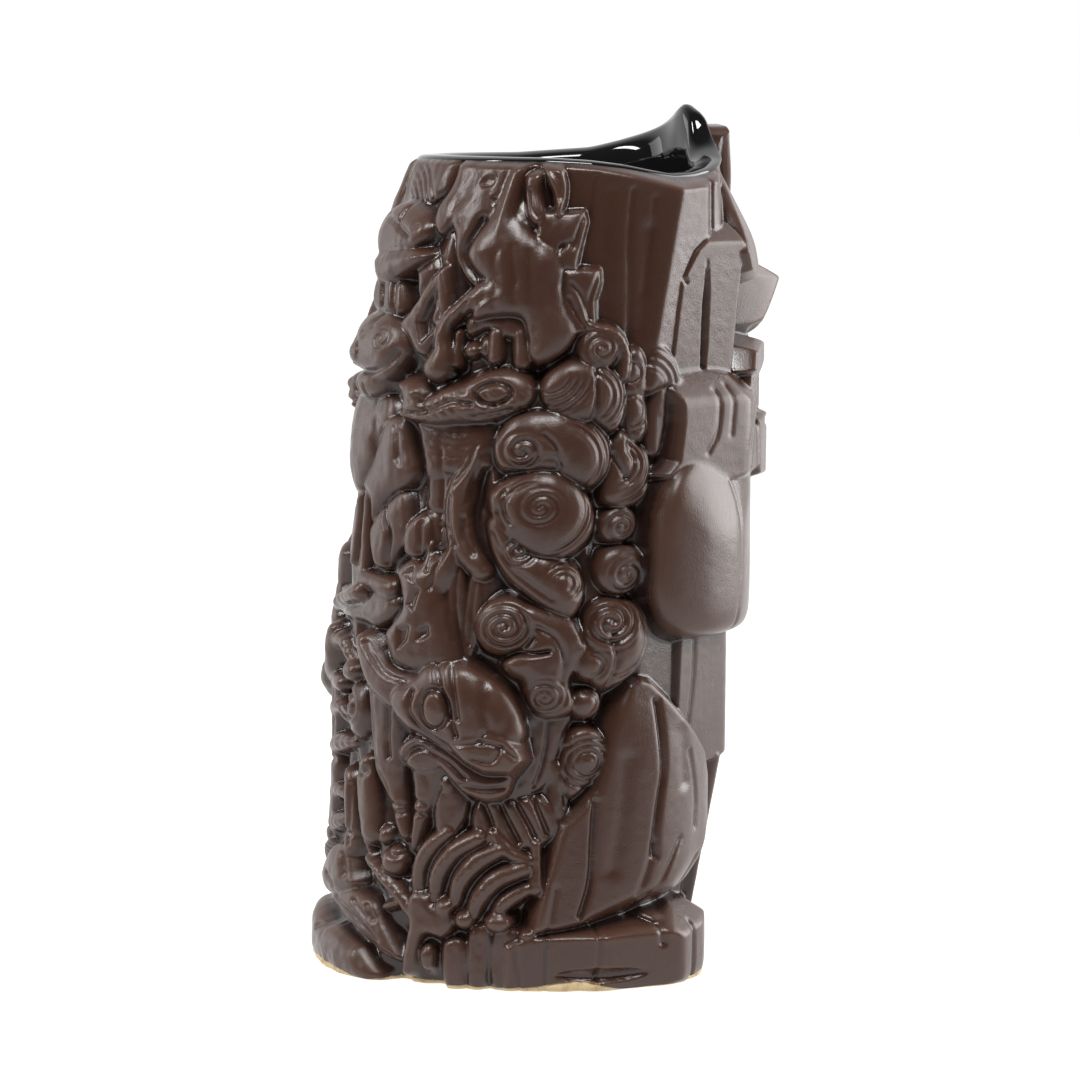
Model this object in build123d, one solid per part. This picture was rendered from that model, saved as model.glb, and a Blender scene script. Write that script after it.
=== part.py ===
from build123d import *
import os
from math import cos, radians, sin, tan

# Tiki mug: a tall slip-cast drinking cup, carved all round in high relief.
# Frame: +Z up, origin on the resting plane at the middle of the foot. The idol faces -Y.
# Angles go round the cup from the idol's front (0) over its right side (90) to the back (180).

# Driving dimensions, mm
RIM_HEIGHT = 164.0
WALL = 4.5
FLOOR = 6.0
GLAZE = 0.5
FOOT_HEIGHT = 1.2
FOOT_RADIUS = 36.5
HALF_WIDTH = 43.0
PLINTH_TOP = 17.0
CREST_TOP = 175.0
NOSE_TIP = -60.0
RELIEF_HEIGHTS = (2.5, 4.0, 5.5, 7.5)

# The bare cup is a cone that leans towards the idol's face
LEAN = 4.0          # degrees from upright
BASE_RADIUS = 35.6
RIM_RADIUS = 31.0

# How the blanks are cut
END_MARGIN = 20.0   # how far the cone runs past the cup before it is cut level
SINK = 9.0          # how deep a relief blank starts inside the wall before it is trimmed
REACH = 20.0        # length of that blank along the wall's normal
SMALLEST = 3.0      # crumbs of less volume than this, left by trimming, are dropped (mm3)


def shift(z):
    """How far towards the idol's face the cup's axis has moved at a height."""
    return z * tan(radians(LEAN))


def radius(z):
    return BASE_RADIUS + (RIM_RADIUS - BASE_RADIUS) * z / RIM_HEIGHT


def cup_body(grow, bottom, top):
    """The leaning cone of the cup, its radius grown by grow, cut level at two heights."""
    length = RIM_HEIGHT + 2 * END_MARGIN
    slope = (RIM_RADIUS - BASE_RADIUS) / RIM_HEIGHT
    low = BASE_RADIUS - slope * END_MARGIN + grow
    high = low + slope * length
    cone = Cone(low, high, length, align=(Align.CENTER, Align.CENTER, Align.MIN))
    cone = Rot(LEAN, 0, 0) * Pos(0, 0, -END_MARGIN) * cone
    slab = Box(300, 300, top - bottom, align=(Align.CENTER, Align.CENTER, Align.MIN))
    return cone & Pos(0, 0, bottom) * slab


def wall_plane(angle, z):
    """A plane on the wall: x to the right as seen from outside, y up, z outwards."""
    a = radians(angle)
    out = Vector(-sin(a), -cos(a), 0)
    return Plane(
        origin=(out.X * radius(z), out.Y * radius(z) - shift(z), z),
        x_dir=(cos(a), -sin(a), 0),
        z_dir=out,
    )


# ---- envelopes: the bare cup, and the cup grown by each relief height
ENVELOPE = cup_body(0, FOOT_HEIGHT, RIM_HEIGHT)
CAVITY = cup_body(-WALL, FLOOR, RIM_HEIGHT)
GROWN = {h: cup_body(h, FOOT_HEIGHT, RIM_HEIGHT) for h in RELIEF_HEIGHTS}

nodes = {}


def solids_of(shape):
    return [s for s in shape.solids() if s.volume > SMALLEST]


def boxes_meet(a, b):
    p, q = a.bounding_box(), b.bounding_box()
    return all(
        low < high
        for low, high in (
            (p.min.X, q.max.X), (q.min.X, p.max.X),
            (p.min.Y, q.max.Y), (q.min.Y, p.max.Y),
            (p.min.Z, q.max.Z), (q.min.Z, p.max.Z),
        )
    )


def add(name, shape, trim=True):
    """Trims a blank by the cup and by every earlier node, so that neighbours meet face to face."""
    if trim:
        shape = shape - ENVELOPE
        near = [n for n in nodes.values() if boxes_meet(shape, n)]
        shape = shape - near if near else shape
    kept = solids_of(shape)
    if kept:
        nodes[name] = Compound(children=kept) if len(kept) > 1 else kept[0]


def both_sides(name, shape):
    """Adds a piece of the idol's right side and its mirror image on the left."""
    add(name + "_right", shape)
    add(name + "_left", mirror(shape, about=Plane.YZ))


def relief(outline, angle, z, height, turn=0.0):
    """A plate of that outline, as high as height all over, on the round wall."""
    place = wall_plane(angle, z).location * Rot(0, 0, turn)
    prism = place * Pos(0, 0, -SINK) * extrude(outline, amount=REACH, dir=(0, 0, 1))
    return prism & GROWN[height]


def blob(*points, rounding=1.2):
    """A flat outline through hand-placed corners, with its corners rounded."""
    face = Polygon(*points, align=None)
    return fillet(face.vertices(), rounding)


def oval(width, height):
    return Ellipse(width / 2, height / 2)


def plan_block(points, bottom, top):
    """A straight block from a plan outline."""
    outline = Polygon(*points, align=None)
    return Pos(0, 0, bottom) * extrude(outline, amount=top - bottom, dir=(0, 0, 1))


def side_block(points, inner, outer):
    """A block from an outline in side view (y, z), between two distances left of the middle."""
    profile = Plane.YZ * Polygon(*points, align=None)
    return Pos(-outer, 0, 0) * extrude(profile, amount=outer - inner, dir=(1, 0, 0))


def group(blanks):
    """Separate solids that share one node, each trimmed by the ones before it."""
    parts = []
    for blank in blanks:
        near = [p for p in parts if boxes_meet(blank, p)]
        for solid in solids_of(blank - near if near else blank):
            parts.append(solid)
    return Compound(children=parts)


# ---- cup
def make_cup():
    add("vessel_wall", ENVELOPE - CAVITY, trim=False)
    skin = CAVITY - cup_body(-WALL - GLAZE, FLOOR + GLAZE, RIM_HEIGHT)
    add("liner_glaze", skin, trim=False)
    foot = Cylinder(FOOT_RADIUS, FOOT_HEIGHT, align=(Align.CENTER, Align.CENTER, Align.MIN))
    add("bare_foot", foot, trim=False)


# ---- idol: plinth, legs and feet
def make_plinth():
    side = [(-HALF_WIDTH, 12), (-HALF_WIDTH, -21), (-38, -27), (-24, -27), (-24, 12)]
    both_sides("plinth", plan_block(side, FOOT_HEIGHT, PLINTH_TOP))
    step = [(-24, -27), (24, -27), (24, -38), (-24, -38)]
    block = [(-24, -20), (24, -20), (24, -32), (-24, -32)]
    add("plinth_front", plan_block(block, FOOT_HEIGHT, 7) + plan_block(step, FOOT_HEIGHT, 4))


def make_legs():
    haunch = [(10, 12.5), (-11.5, 60), (-22.5, 49), (-28, 36), (-27, 23), (-20, 17), (-3, 13)]
    both_sides("haunch", side_block(haunch, 24, 42))
    shin = [(-24, 15), (-24, 46), (-37, 44), (-39, 34), (-36, 15)]
    add("shins", side_block(shin, 11, 28) + side_block(shin, -28, -11))
    foot = Pos(-19, -33, 9) * Box(18, 14, 10)
    foot = fillet(foot.edges().group_by(Axis.Z)[-1], 3)
    add("feet", foot + mirror(foot, about=Plane.YZ))


# ---- idol: torso, arms and hands
def make_torso():
    arm = Pos(-31, -26, 84) * Rot(0, 0, 20) * Box(18, 24, 36)
    both_sides("upper_arm", fillet(arm.edges(), 6))
    palm = blob((-11, -8), (8, -8), (11, -2), (11, 6), (-9, 8), rounding=2.5)
    both_sides("hand", relief(palm, 24, 72, 7.5))
    add("belly", relief(oval(34, 40), 0, 72, 5.5))
    flank = [(-10, -10), (10, -10), (10, 9), (-10, 9)]
    add("flanks", relief(blob(*flank), 48, 57, 4.0) + relief(blob(*flank), -48, 57, 4.0))


# ---- idol: head
def make_head():
    temple = [(-35, -2), (-36.5, -24), (-31, -34), (-20, -34), (-20, -2)]
    ear = Pos(-32.5, -31.5, 132) * Rot(0, 0, 28) * Box(8, 17, 28)
    slot = Pos(-36.5, -31.5, 132) * Rot(0, 0, 28) * Box(5, 2.4, 20)
    both_sides("ear", fillet(ear.edges().filter_by(Axis.Z), 1.5) - slot)
    both_sides("temple", plan_block(temple, 118, 161))
    nose = [(-36, 149), (-49, 149), (NOSE_TIP, 137), (NOSE_TIP + 2, 133), (-48, 125), (-36, 125)]
    add("nose", side_block(nose, -8, 8))
    add("eyes", relief(oval(15, 13), 24, 137, 7.5) + relief(oval(15, 13), -24, 137, 7.5))
    brow = [(-27, -36), (-16, -48), (16, -48), (27, -36), (16, -34), (-16, -34)]
    add("brow", plan_block(brow, 144, 151))
    forehead = [(-27, -34), (-14, -45), (14, -45), (27, -34)]
    add("forehead", plan_block(forehead, 151, 161))
    add("topknot", fillet((Pos(0, -44.5, 164) * Box(15, 8, 15)).edges().group_by(Axis.Z)[-1], 2))
    crest = [(-38.5, RIM_HEIGHT), (-43.2, RIM_HEIGHT), (-41, CREST_TOP), (-40, CREST_TOP)]
    add("front_crest", side_block(crest, -8, 8))
    jaw = [(-36, -12), (-38.5, -24), (-31, -40), (-19, -49), (-19, -12)]
    both_sides("jaw", plan_block(jaw, 99, 117))
    add("chin", plan_block([(-19, -30), (-19, -49), (-9, -55), (9, -55), (19, -49), (19, -30)], 99, 112))
    add("teeth", plan_block([(-15, -30), (-15, -46), (-8, -49), (8, -49), (15, -46), (15, -30)], 112, 121))
    add("upper_lip", plan_block([(-19, -30), (-19, -45), (-9, -52), (9, -52), (19, -45), (19, -30)], 121, 125))


# ---- back: smoke scrolls and puffs
def scroll_disc(width, height, angle, z, high):
    return relief(oval(width, height), angle, z, high)


PUFFS = [
    # angle, height, width, height of the oval
    (92, 126, 11, 12), (96, 115, 12, 11), (86, 116, 8, 13), (84, 98, 11, 9),
    (85, 91, 8, 8), (84, 83, 10, 10), (83, 71, 11, 12), (88, 60, 8, 8), (90, 47, 9, 12),
]


def puff_group(name, side):
    discs = [scroll_disc(w, h, side * angle % 360, z, 4.0) for angle, z, w, h in PUFFS]
    add(name, group(discs))


def make_smoke():
    add("scroll_middle", scroll_disc(23, 21, 111, 95, 7.5))
    add("scroll_upper", scroll_disc(27, 17, 112, 107, 5.5))
    add("scroll_lower", scroll_disc(24, 20, 113, 83, 5.5))
    add("scroll_base", scroll_disc(19, 15, 110, 69, 5.5))
    add("scroll_tail", relief(blob((-7, -14), (3, -14), (7, 2), (5, 12), (-4, 10), (-2, -2)), 104, 56, 4.0))
    puff_group("smoke_puffs_right", 1)
    left = [(24, 22, 248, 112), (26, 22, 250, 88), (22, 18, 247, 67)]
    add("scrolls_left", group([scroll_disc(*place, 5.5) for place in left]))
    puff_group("smoke_puffs_left", -1)


# ---- back: creatures of the relief, top to bottom
def make_beast():
    body = blob(
        (-13, 15), (6, 16), (8, 3), (15, -4), (16, -16), (18, -26), (10, -25), (2, -17), (-10, -19),
        (-21, -27), (-23, -21), (-12, -13), (-14, -2), (-17, 4),
    )
    muzzle = relief(oval(7, 9), 107, 157, 5.5)
    add("rearing_beast", relief(body, 119, 147, 4.0) + muzzle)
    crest = blob((-5, 10), (4, 12), (1, 4), (0, 1), (6, 1), (3, -7), (6, -16), (-6, -14), rounding=0.6)
    torn = blob((-7, 9), (3, 11), (9, 0), (4, -12), (-6, -8))
    add("leaf_crest", group([relief(crest, 101, 145, 2.5), relief(torn, 226, 148, 2.5)]))
    owl = blob((-8, 9), (2, 11), (9, 4), (7, -9), (-4, -12), (-10, -2))
    add("owl", relief(owl, 182, 150, 4.0))


def make_bat():
    add("bat_head", relief(oval(15, 18), 173, 127, 7.5))
    ears = [
        relief(blob((-2, -6), (3, -6), (4, 7), rounding=0.4), 157, 137, 4.0),
        relief(blob((2, -6), (-3, -6), (-4, 7), rounding=0.4), 190, 137, 4.0),
    ]
    add("bat_ears", group(ears))
    wing = blob((-8, 15), (-1, 16), (6, 8), (8, -3), (1, -14), (-4, -16), (-6, -4))
    wings = [relief(wing, 164, 103, 4.0), relief(mirror(wing, about=Plane.YZ), 185, 103, 4.0)]
    add("bat_wings", group(wings))


def make_lizard():
    head = blob((-15, -2), (-14, 6), (-4, 4), (4, 8), (12, 7), (15, 0), (10, -5), (-9, -6))
    add("lizard_head", relief(head, 135, 117, 5.5, turn=6))
    add("lizard_neck", relief(blob((-9, 13), (10, 13), (8, -12), (-4, -14), (-10, -8)), 146, 98, 2.5))


def make_bull():
    head = blob((-11, 3), (-4, 12), (6, 12), (12, 3), (13, -7), (8, -14), (-2, -12), (-8, -5))
    ear = relief(oval(9, 6), 143, 45, 5.5, turn=-30)
    add("bull_head", relief(head, 126, 52, 7.5) + ear)
    horns = [
        relief(blob((-13, 10), (-11, 10), (-5, 1), (6, -1), (2, -7), (-9, -4), rounding=0.5), 148, 63, 4.0),
        relief(blob((-6, -2), (4, 4), (5, -4), (-4, -7), rounding=0.6), 108, 59, 4.0),
    ]
    add("bull_horns", group(horns))
    legs = [
        relief(blob((-3, 20), (6, 20), (3, -14), (-3, -14)), 156, 42, 4.0, turn=6),
        relief(blob((-3, 9), (4, 9), (1, -12), (-4, -12)), 142, 32, 4.0, turn=4),
    ]
    add("bull_forelegs", group(legs))


def make_undergrowth():
    hide = blob((-5, -13), (6, -13), (6, 3), (5, 12), (1, 9), (-2, 13), (-6, 8), (-5, 1), (-8, -6))
    add("spotted_hide", relief(hide, 138, 74, 4.0))
    rib = blob((-7, -5), (-3, 2), (6, 5), (6, 3), (-1, 0), (-5, -6), rounding=0.4)
    ribs = [relief(rib, 129 - 6.5 * i, 24 - 2.5 * i, 4.0) for i in range(4)]
    add("rib_cage", group(ribs))
    fins = [relief(oval(4, 13), angle, 33, 2.5, turn=15) for angle in (113, 107, 101)]
    add("seed_pod", group(fins))
    add("fish", relief(oval(10, 24), 158, 17, 5.5, turn=28))
    add("claw_hand", relief(blob((-8, 8), (5, 9), (8, -6), (-6, -8)), 190, 75, 4.0))
    places = ((170, 34, -4), (185, 30, 5), (212, 34, -8), (226, 30, 6), (240, 36, -6))
    blades = [relief(oval(6, 26), angle, z, 2.5, turn=turn) for angle, z, turn in places]
    add("grass_blades", group(blades))
    stones = [relief(oval(13, 9), angle, 7, 5.5) for angle in (124, 140, 172, 189, 206, 223, 238)]
    add("stone_heap", group(stones))
    frond = blob((-5, 22), (4, 20), (9, 4), (6, -14), (0, -22), (-7, -10), (-9, 6))
    add("palm_frond", relief(frond, 208, 104, 2.5))
    plumes = [
        relief(blob((-7, 14), (6, 14), (7, -12), (-6, -12)), 196, 50, 2.5),
        relief(blob((-6, 12), (7, 13), (9, -3), (0, -14), (-9, -5)), 218, 66, 2.5),
    ]
    add("tail_plumes", group(plumes))


os.makedirs("parts", exist_ok=True)
make_cup()
make_plinth()
make_legs()
make_torso()
make_head()
make_smoke()
make_beast()
make_bat()
make_lizard()
make_bull()
make_undergrowth()
for node_name, node_shape in nodes.items():
    export_step(node_shape, f"parts/{node_name}.step")
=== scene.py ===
import bpy
import numpy as np
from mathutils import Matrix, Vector


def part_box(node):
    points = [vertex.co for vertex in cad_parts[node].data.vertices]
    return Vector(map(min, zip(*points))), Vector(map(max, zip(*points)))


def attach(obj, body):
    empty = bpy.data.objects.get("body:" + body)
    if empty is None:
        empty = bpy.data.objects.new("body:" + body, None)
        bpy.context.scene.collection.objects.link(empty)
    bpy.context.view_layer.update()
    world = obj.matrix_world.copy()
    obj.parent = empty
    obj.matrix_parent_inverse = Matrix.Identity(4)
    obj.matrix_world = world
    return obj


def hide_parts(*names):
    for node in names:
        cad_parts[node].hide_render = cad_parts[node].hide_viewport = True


# A glazed tiki mug. The clay outside is one height field, wrapped round the leaning cup.
# Each creature and each block of the idol is laid on it in turn, and keeps the samples where
# it is the highest, so every piece has its own closed mesh and none overlaps another.
#
# Lengths are millimetres until a mesh is made. Places on the cup are (u, z): z is the height
# and u runs round the cup, to the right as seen from outside, from the middle of the idol's
# right side (u = 0). FRONT is the idol's nose. The same place with side=-1 is its mirror image.

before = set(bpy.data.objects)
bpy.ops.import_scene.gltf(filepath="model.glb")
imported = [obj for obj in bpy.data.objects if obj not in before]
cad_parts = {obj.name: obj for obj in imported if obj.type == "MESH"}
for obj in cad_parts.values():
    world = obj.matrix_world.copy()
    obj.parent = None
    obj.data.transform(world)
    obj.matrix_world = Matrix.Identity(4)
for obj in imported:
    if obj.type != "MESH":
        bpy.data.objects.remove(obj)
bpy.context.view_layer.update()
MM = 0.001


def node_box(name):
    low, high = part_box(name)
    return np.array(low) / MM, np.array(high) / MM


# ---- sizes, from the frame where it has them
RIM = node_box("vessel_wall")[1][2]
CREST_TOP = node_box("front_crest")[1][2]
TOPKNOT_FRONT = -node_box("topknot")[0][1]
NOSE_TIP = -node_box("nose")[0][1]
STEP = 0.3    # between two samples of the surface
ROUND = 34.0                         # radius that turns angles into u
SIDE = np.radians(112.0)             # angle of u = 0 from the idol's front
FRONT = ROUND * SIDE                 # u of the idol's nose
DEEP = -1.5                          # how far under the cup's surface the pieces reach
WALL = 4.5                           # thickness of the cup's wall
FLOOR = 5.4                          # height of the floor inside
NECK = 130.0                         # above this the rows of samples stretch to follow the rim
RIM_SOFTNESS = 4.5
SEED = 11

# The bare cup: height, how far it has leaned towards the face, radius
STATIONS = np.array([
    (0, 0.0, 35.0), (40, 1.5, 34.5), (70, 3.5, 36.0), (100, 6.0, 35.0),
    (127, 7.5, 33.5), (148, 9.0, 32.0), (158, 11.5, 30.5), (176, 17.0, 28.5),
])
# The rim's height by angle from the idol's front, on its right side and on its left
RIM_RIGHT = np.array([
    (0, 171), (11, 170.4), (15, 167.6), (21, 165.2), (31, 163.2), (45, 161.6), (58, 160.6), (70, 160.4),
    (80, 161.1), (92, 162.2), (105, 163.0), (120, 163.5), (180, 164),
])
RIM_LEFT = np.array([(0, 171), (17, 170.0), (41, 167.4), (60, 165.2), (90, 164.2), (180, 164)])


def softened(values, width):
    """A run of values with its kinks rounded off."""
    kernel = np.hanning(width + 2)[1:-1]
    padded = np.pad(values, width, mode="edge")
    return np.convolve(padded, kernel / kernel.sum(), mode="same")[width:-width]


heights = np.linspace(0, 180, 361)
lean = softened(np.interp(heights, STATIONS[:, 0], STATIONS[:, 1]), 41)
wide = softened(np.interp(heights, STATIONS[:, 0], STATIONS[:, 2]), 41)


def shift(z):
    return np.interp(z, heights, lean)


def radius(z):
    return np.interp(z, heights, wide)


# ---- the grid
columns = 2 * round(np.pi * ROUND / STEP)
theta = -np.pi + 2 * np.pi * np.arange(columns) / columns
level = np.linspace(0, RIM, round(RIM / STEP) + 1)
rng = np.random.default_rng(SEED)


def rim_height(angle):
    degrees = np.degrees(angle)
    right = np.interp(degrees, RIM_RIGHT[:, 0], RIM_RIGHT[:, 1])
    left = np.interp(-degrees, RIM_LEFT[:, 0], RIM_LEFT[:, 1])
    return np.where(degrees >= 0, right, left)


def blur(field, across, up):
    """Gaussian blur in mm, endless round the cup and mirrored at its two edges."""
    both = np.vstack([field, field[::-1]])
    f_up = np.fft.fftfreq(both.shape[0], STEP)[:, None]
    f_across = np.fft.rfftfreq(both.shape[1], STEP)[None, :]
    keep = np.exp(-2 * np.pi ** 2 * ((f_up * up) ** 2 + (f_across * across) ** 2))
    return np.fft.irfft2(np.fft.rfft2(both) * keep, both.shape)[: field.shape[0]]


def noise(across, up):
    """Smooth seeded noise with a spread of 1. Its grains are across by up mm."""
    field = blur(rng.standard_normal((len(level), columns)), across, up)
    return field / field.std()


rim_width = round(RIM_SOFTNESS / STEP) // 2 * 2 + 1
rim_line = softened(np.tile(rim_height(theta), 3), rim_width)[columns: 2 * columns]
foot_line = 1.1 + 0.35 * noise(3, 3)[0]
z_grid = np.repeat(level[:, None], columns, axis=1)
z_grid = np.where(z_grid > NECK, NECK + (z_grid - NECK) * (rim_line - NECK) / (RIM - NECK), z_grid)
z_grid += foot_line * np.clip(1 - z_grid / 8, 0, 1)
theta_grid = np.repeat(theta[None, :], len(level), axis=0)


# ---- blending
def smooth_max(a, b, k):
    """The higher of a and b, rounded off where they are within k of each other."""
    near = np.clip(1 - np.abs(a - b) / k, 0, None)
    return np.maximum(a, b) + near * near * k / 4


def smooth_min(a, b, k):
    return -smooth_max(-a, -b, k)


def join(forms, k):
    """The highest of all forms, blended over k mm where two meet."""
    total = forms[0]
    for form in forms[1:]:
        total = smooth_max(total, form, k)
    return total


# ---- the clay
class Clay:
    """Height of the clay over the bare cup, and which piece each sample belongs to."""

    def __init__(self):
        self.height = np.clip(0.5 + 0.6 * noise(1.3, 4.5), -0.6, 1.7)
        self.owner = np.zeros(self.height.shape, int)
        self.names = ["ground"]

    def window(self, box, side):
        """The samples near box (left, right, low, high), and their places as that side sees them."""
        left, right, low, high = box
        middle = (left + right) / 2
        turn = 2 * np.pi * ROUND
        u = ROUND * (SIDE - side * theta)
        u = middle + (u - middle + turn / 2) % turn - turn / 2
        cols = np.nonzero((u >= left) & (u <= right))[0]
        rows = np.nonzero((level >= low - 9) & (level <= high + 5))[0]
        samples = np.ix_(rows, cols)
        return samples, np.repeat(u[cols][None, :], len(rows), axis=0), z_grid[samples]

    def lay(self, name, form, box, side, blend):
        """Lays form, a function of (u, z), inside box. It owns the samples where it is the highest."""
        if name not in self.names:
            self.names.append(name)
        samples, u, z = self.window(box, side)
        new, old = form(u, z), self.height[samples]
        owner = self.owner[samples]
        owner[new > old] = self.names.index(name)
        self.owner[samples] = owner
        self.height[samples] = smooth_max(old, new, blend)

    def lay_on_both(self, name, mirror_name, form, box, blend):
        """Lays form on the idol's right side, and its mirror image on the left."""
        self.lay(name, form, box, 1, blend)
        self.lay(mirror_name, form, box, -1, blend)


# ---- outlines, in (u, z)
def curve(points, closed=True, steps=4):
    """Points along a Catmull-Rom curve through the given ones."""
    p = np.array(points, float)
    if closed:
        p = np.vstack([p[-1], p, p[0], p[1]])
    else:
        p = np.vstack([2 * p[0] - p[1], p, 2 * p[-1] - p[-2]])
    t = (np.arange(steps) / steps)[:, None]
    found = []
    for a, b, c, d in zip(p, p[1:], p[2:], p[3:]):
        slope = t * (c - a) + t ** 2 * (2 * a - 5 * b + 4 * c - d) + t ** 3 * (3 * b - a - 3 * c + d)
        found.append(b + 0.5 * slope)
    found = np.vstack(found)
    return found if closed else np.vstack([found, p[-2]])


def distance(line, u, z, closed=False):
    """Distance to a line of points."""
    ends = np.vstack([line[1:], line[:1]]) if closed else line[1:]
    best = np.full(u.shape, 1e6)
    for (pu, pz), (qu, qz) in zip(line, ends):
        du, dz = qu - pu, qz - pz
        t = np.clip(((u - pu) * du + (z - pz) * dz) / (du * du + dz * dz + 1e-9), 0, 1)
        best = np.minimum(best, (u - pu - t * du) ** 2 + (z - pz - t * dz) ** 2)
    return np.sqrt(best)


def depth(outline, u, z):
    """Distance inside a closed outline, negative outside it."""
    inside = np.zeros(u.shape, bool)
    for (pu, pz), (qu, qz) in zip(outline, np.vstack([outline[1:], outline[:1]])):
        if pz != qz:
            crossed = (pz > z) != (qz > z)
            inside ^= crossed & (u < pu + (qu - pu) * (z - pz) / (qz - pz))
    far = distance(outline, u, z, closed=True)
    return np.where(inside, far, -far)


# ---- forms: each gives heights over the cup
STEEP = 2.2    # slope outside a form's outline


def plate(points, u, z, edge, crown, width, sharp=False):
    """A shape with a rim edge mm high, which swells to crown within width of its outline."""
    outline = np.array(points, float) if sharp else curve(points)
    d = depth(outline, u, z)
    t = np.clip(d / width, 0, 1)
    return np.where(d > 0, edge + (crown - edge) * np.sqrt(t * (2 - t)), edge + STEEP * d)


def ball(u, z, cu, cz, ru, rz, high, base=0.0, turn=0.0):
    """An oval dome."""
    c, s = np.cos(np.radians(turn)), np.sin(np.radians(turn))
    x, y = (u - cu) * c + (z - cz) * s, (z - cz) * c - (u - cu) * s
    q = np.sqrt((x / ru) ** 2 + (y / rz) ** 2)
    dome = high * np.sqrt(np.clip(1 - q * q, 0, None))
    return base + np.where(q < 1, dome, STEEP * min(ru, rz) * (1 - q))


def swell(u, z, cu, cz, ru, rz, high, base=0.0, power=2.6):
    """A dome over a rounded rectangle."""
    q = np.abs((u - cu) / ru) ** power + np.abs((z - cz) / rz) ** power
    dome = high * np.clip(1 - q, 0, None) ** 0.46
    return base + np.where(q < 1, dome, STEEP * min(ru, rz) * (1 - q ** (1 / power)))


def limb(u, z, *joints, base=0.0, blend=1.0):
    """A rounded limb through joints (u, z, half width, height)."""
    total = None
    joints = curve(joints, closed=False, steps=3) if len(joints) > 2 else joints
    for (au, az, ar, ah), (bu, bz, br, bh) in zip(joints, joints[1:]):
        du, dz = bu - au, bz - az
        t = np.clip(((u - au) * du + (z - az) * dz) / (du * du + dz * dz), 0, 1)
        d = np.hypot(u - au - t * du, z - az - t * dz)
        r, h = ar + t * (br - ar), ah + t * (bh - ah)
        q = d / r
        part = base + np.where(q < 1, h * np.sqrt(np.clip(1 - q * q, 0, None)), STEEP * (r - d))
        total = part if total is None else smooth_max(total, part, blend)
    return total


def groove(points, u, z, width, deep, closed=False):
    """What to take off for an engraved line."""
    line = curve(points, closed) if len(points) > 2 else np.array(points, float)
    return deep * np.exp(-(distance(line, u, z, closed) / width) ** 2)


def grooves(lines, u, z, width, deep):
    return sum(groove(points, u, z, width, deep) for points in lines)


def curl(u, z, cu, cz, size, pitch, deep, start=0.0, hand=1):
    """Engraved spiral, as what to take off, fading out at size from its eye."""
    x, y = u - cu, z - cz
    r = np.hypot(x, y)
    turn = hand * np.arctan2(y, x) / (2 * np.pi) + start
    phase = (r / pitch - turn) % 1
    cut = np.exp(-(np.minimum(phase, 1 - phase) * 3.4) ** 2)
    return deep * cut * np.clip((size - r) / (0.35 * size), 0, 1)


def plane(u, z, facing, out, tilt=0.0, at=0.0):
    """Height over the cup of a flat face. facing is its angle from the idol's front, out its
    distance from the frame's upright axis at height at, and tilt its slope outwards per mm up."""
    angle = SIDE - u / ROUND
    n = np.radians(facing)
    across = np.cos(angle - n)
    reach = out + tilt * (z - at) - np.cos(n) * shift(z)
    return np.where(across > 0.12, reach / np.maximum(across, 0.12), 400) - radius(z)


def ripples(u, z, cu, cz, inner, outer, pitch, deep, middle=0, spread=400):
    """Engraved arcs round a point, over the angles within spread of middle."""
    x, y = u - cu, z - cz
    r = np.hypot(x, y)
    off = np.abs((np.degrees(np.arctan2(y, x)) - middle + 180) % 360 - 180)
    phase = ((r - inner) / pitch) % 1
    cut = np.exp(-(np.minimum(phase, 1 - phase) * 3.2) ** 2)
    fade = np.clip((r - inner) / 0.6, 0, 1) * np.clip((outer - r) / 0.6, 0, 1)
    return deep * cut * fade * np.clip((spread - off) / 30, 0, 1)


def hollow(points, u, z, deep, slope=2.0):
    """What to take off for a flat-bottomed hollow."""
    return np.clip(slope * depth(np.array(points, float), u, z), 0, deep)


def block(points, u, z, faces, base=1.0, steep=STEEP, soft=1.5):
    """A faceted block: flat faces, cut off by the sides of an outline."""
    total = base + steep * depth(np.array(points, float), u, z)
    for face in faces:
        total = smooth_min(total, face, soft)
    return total


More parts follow.
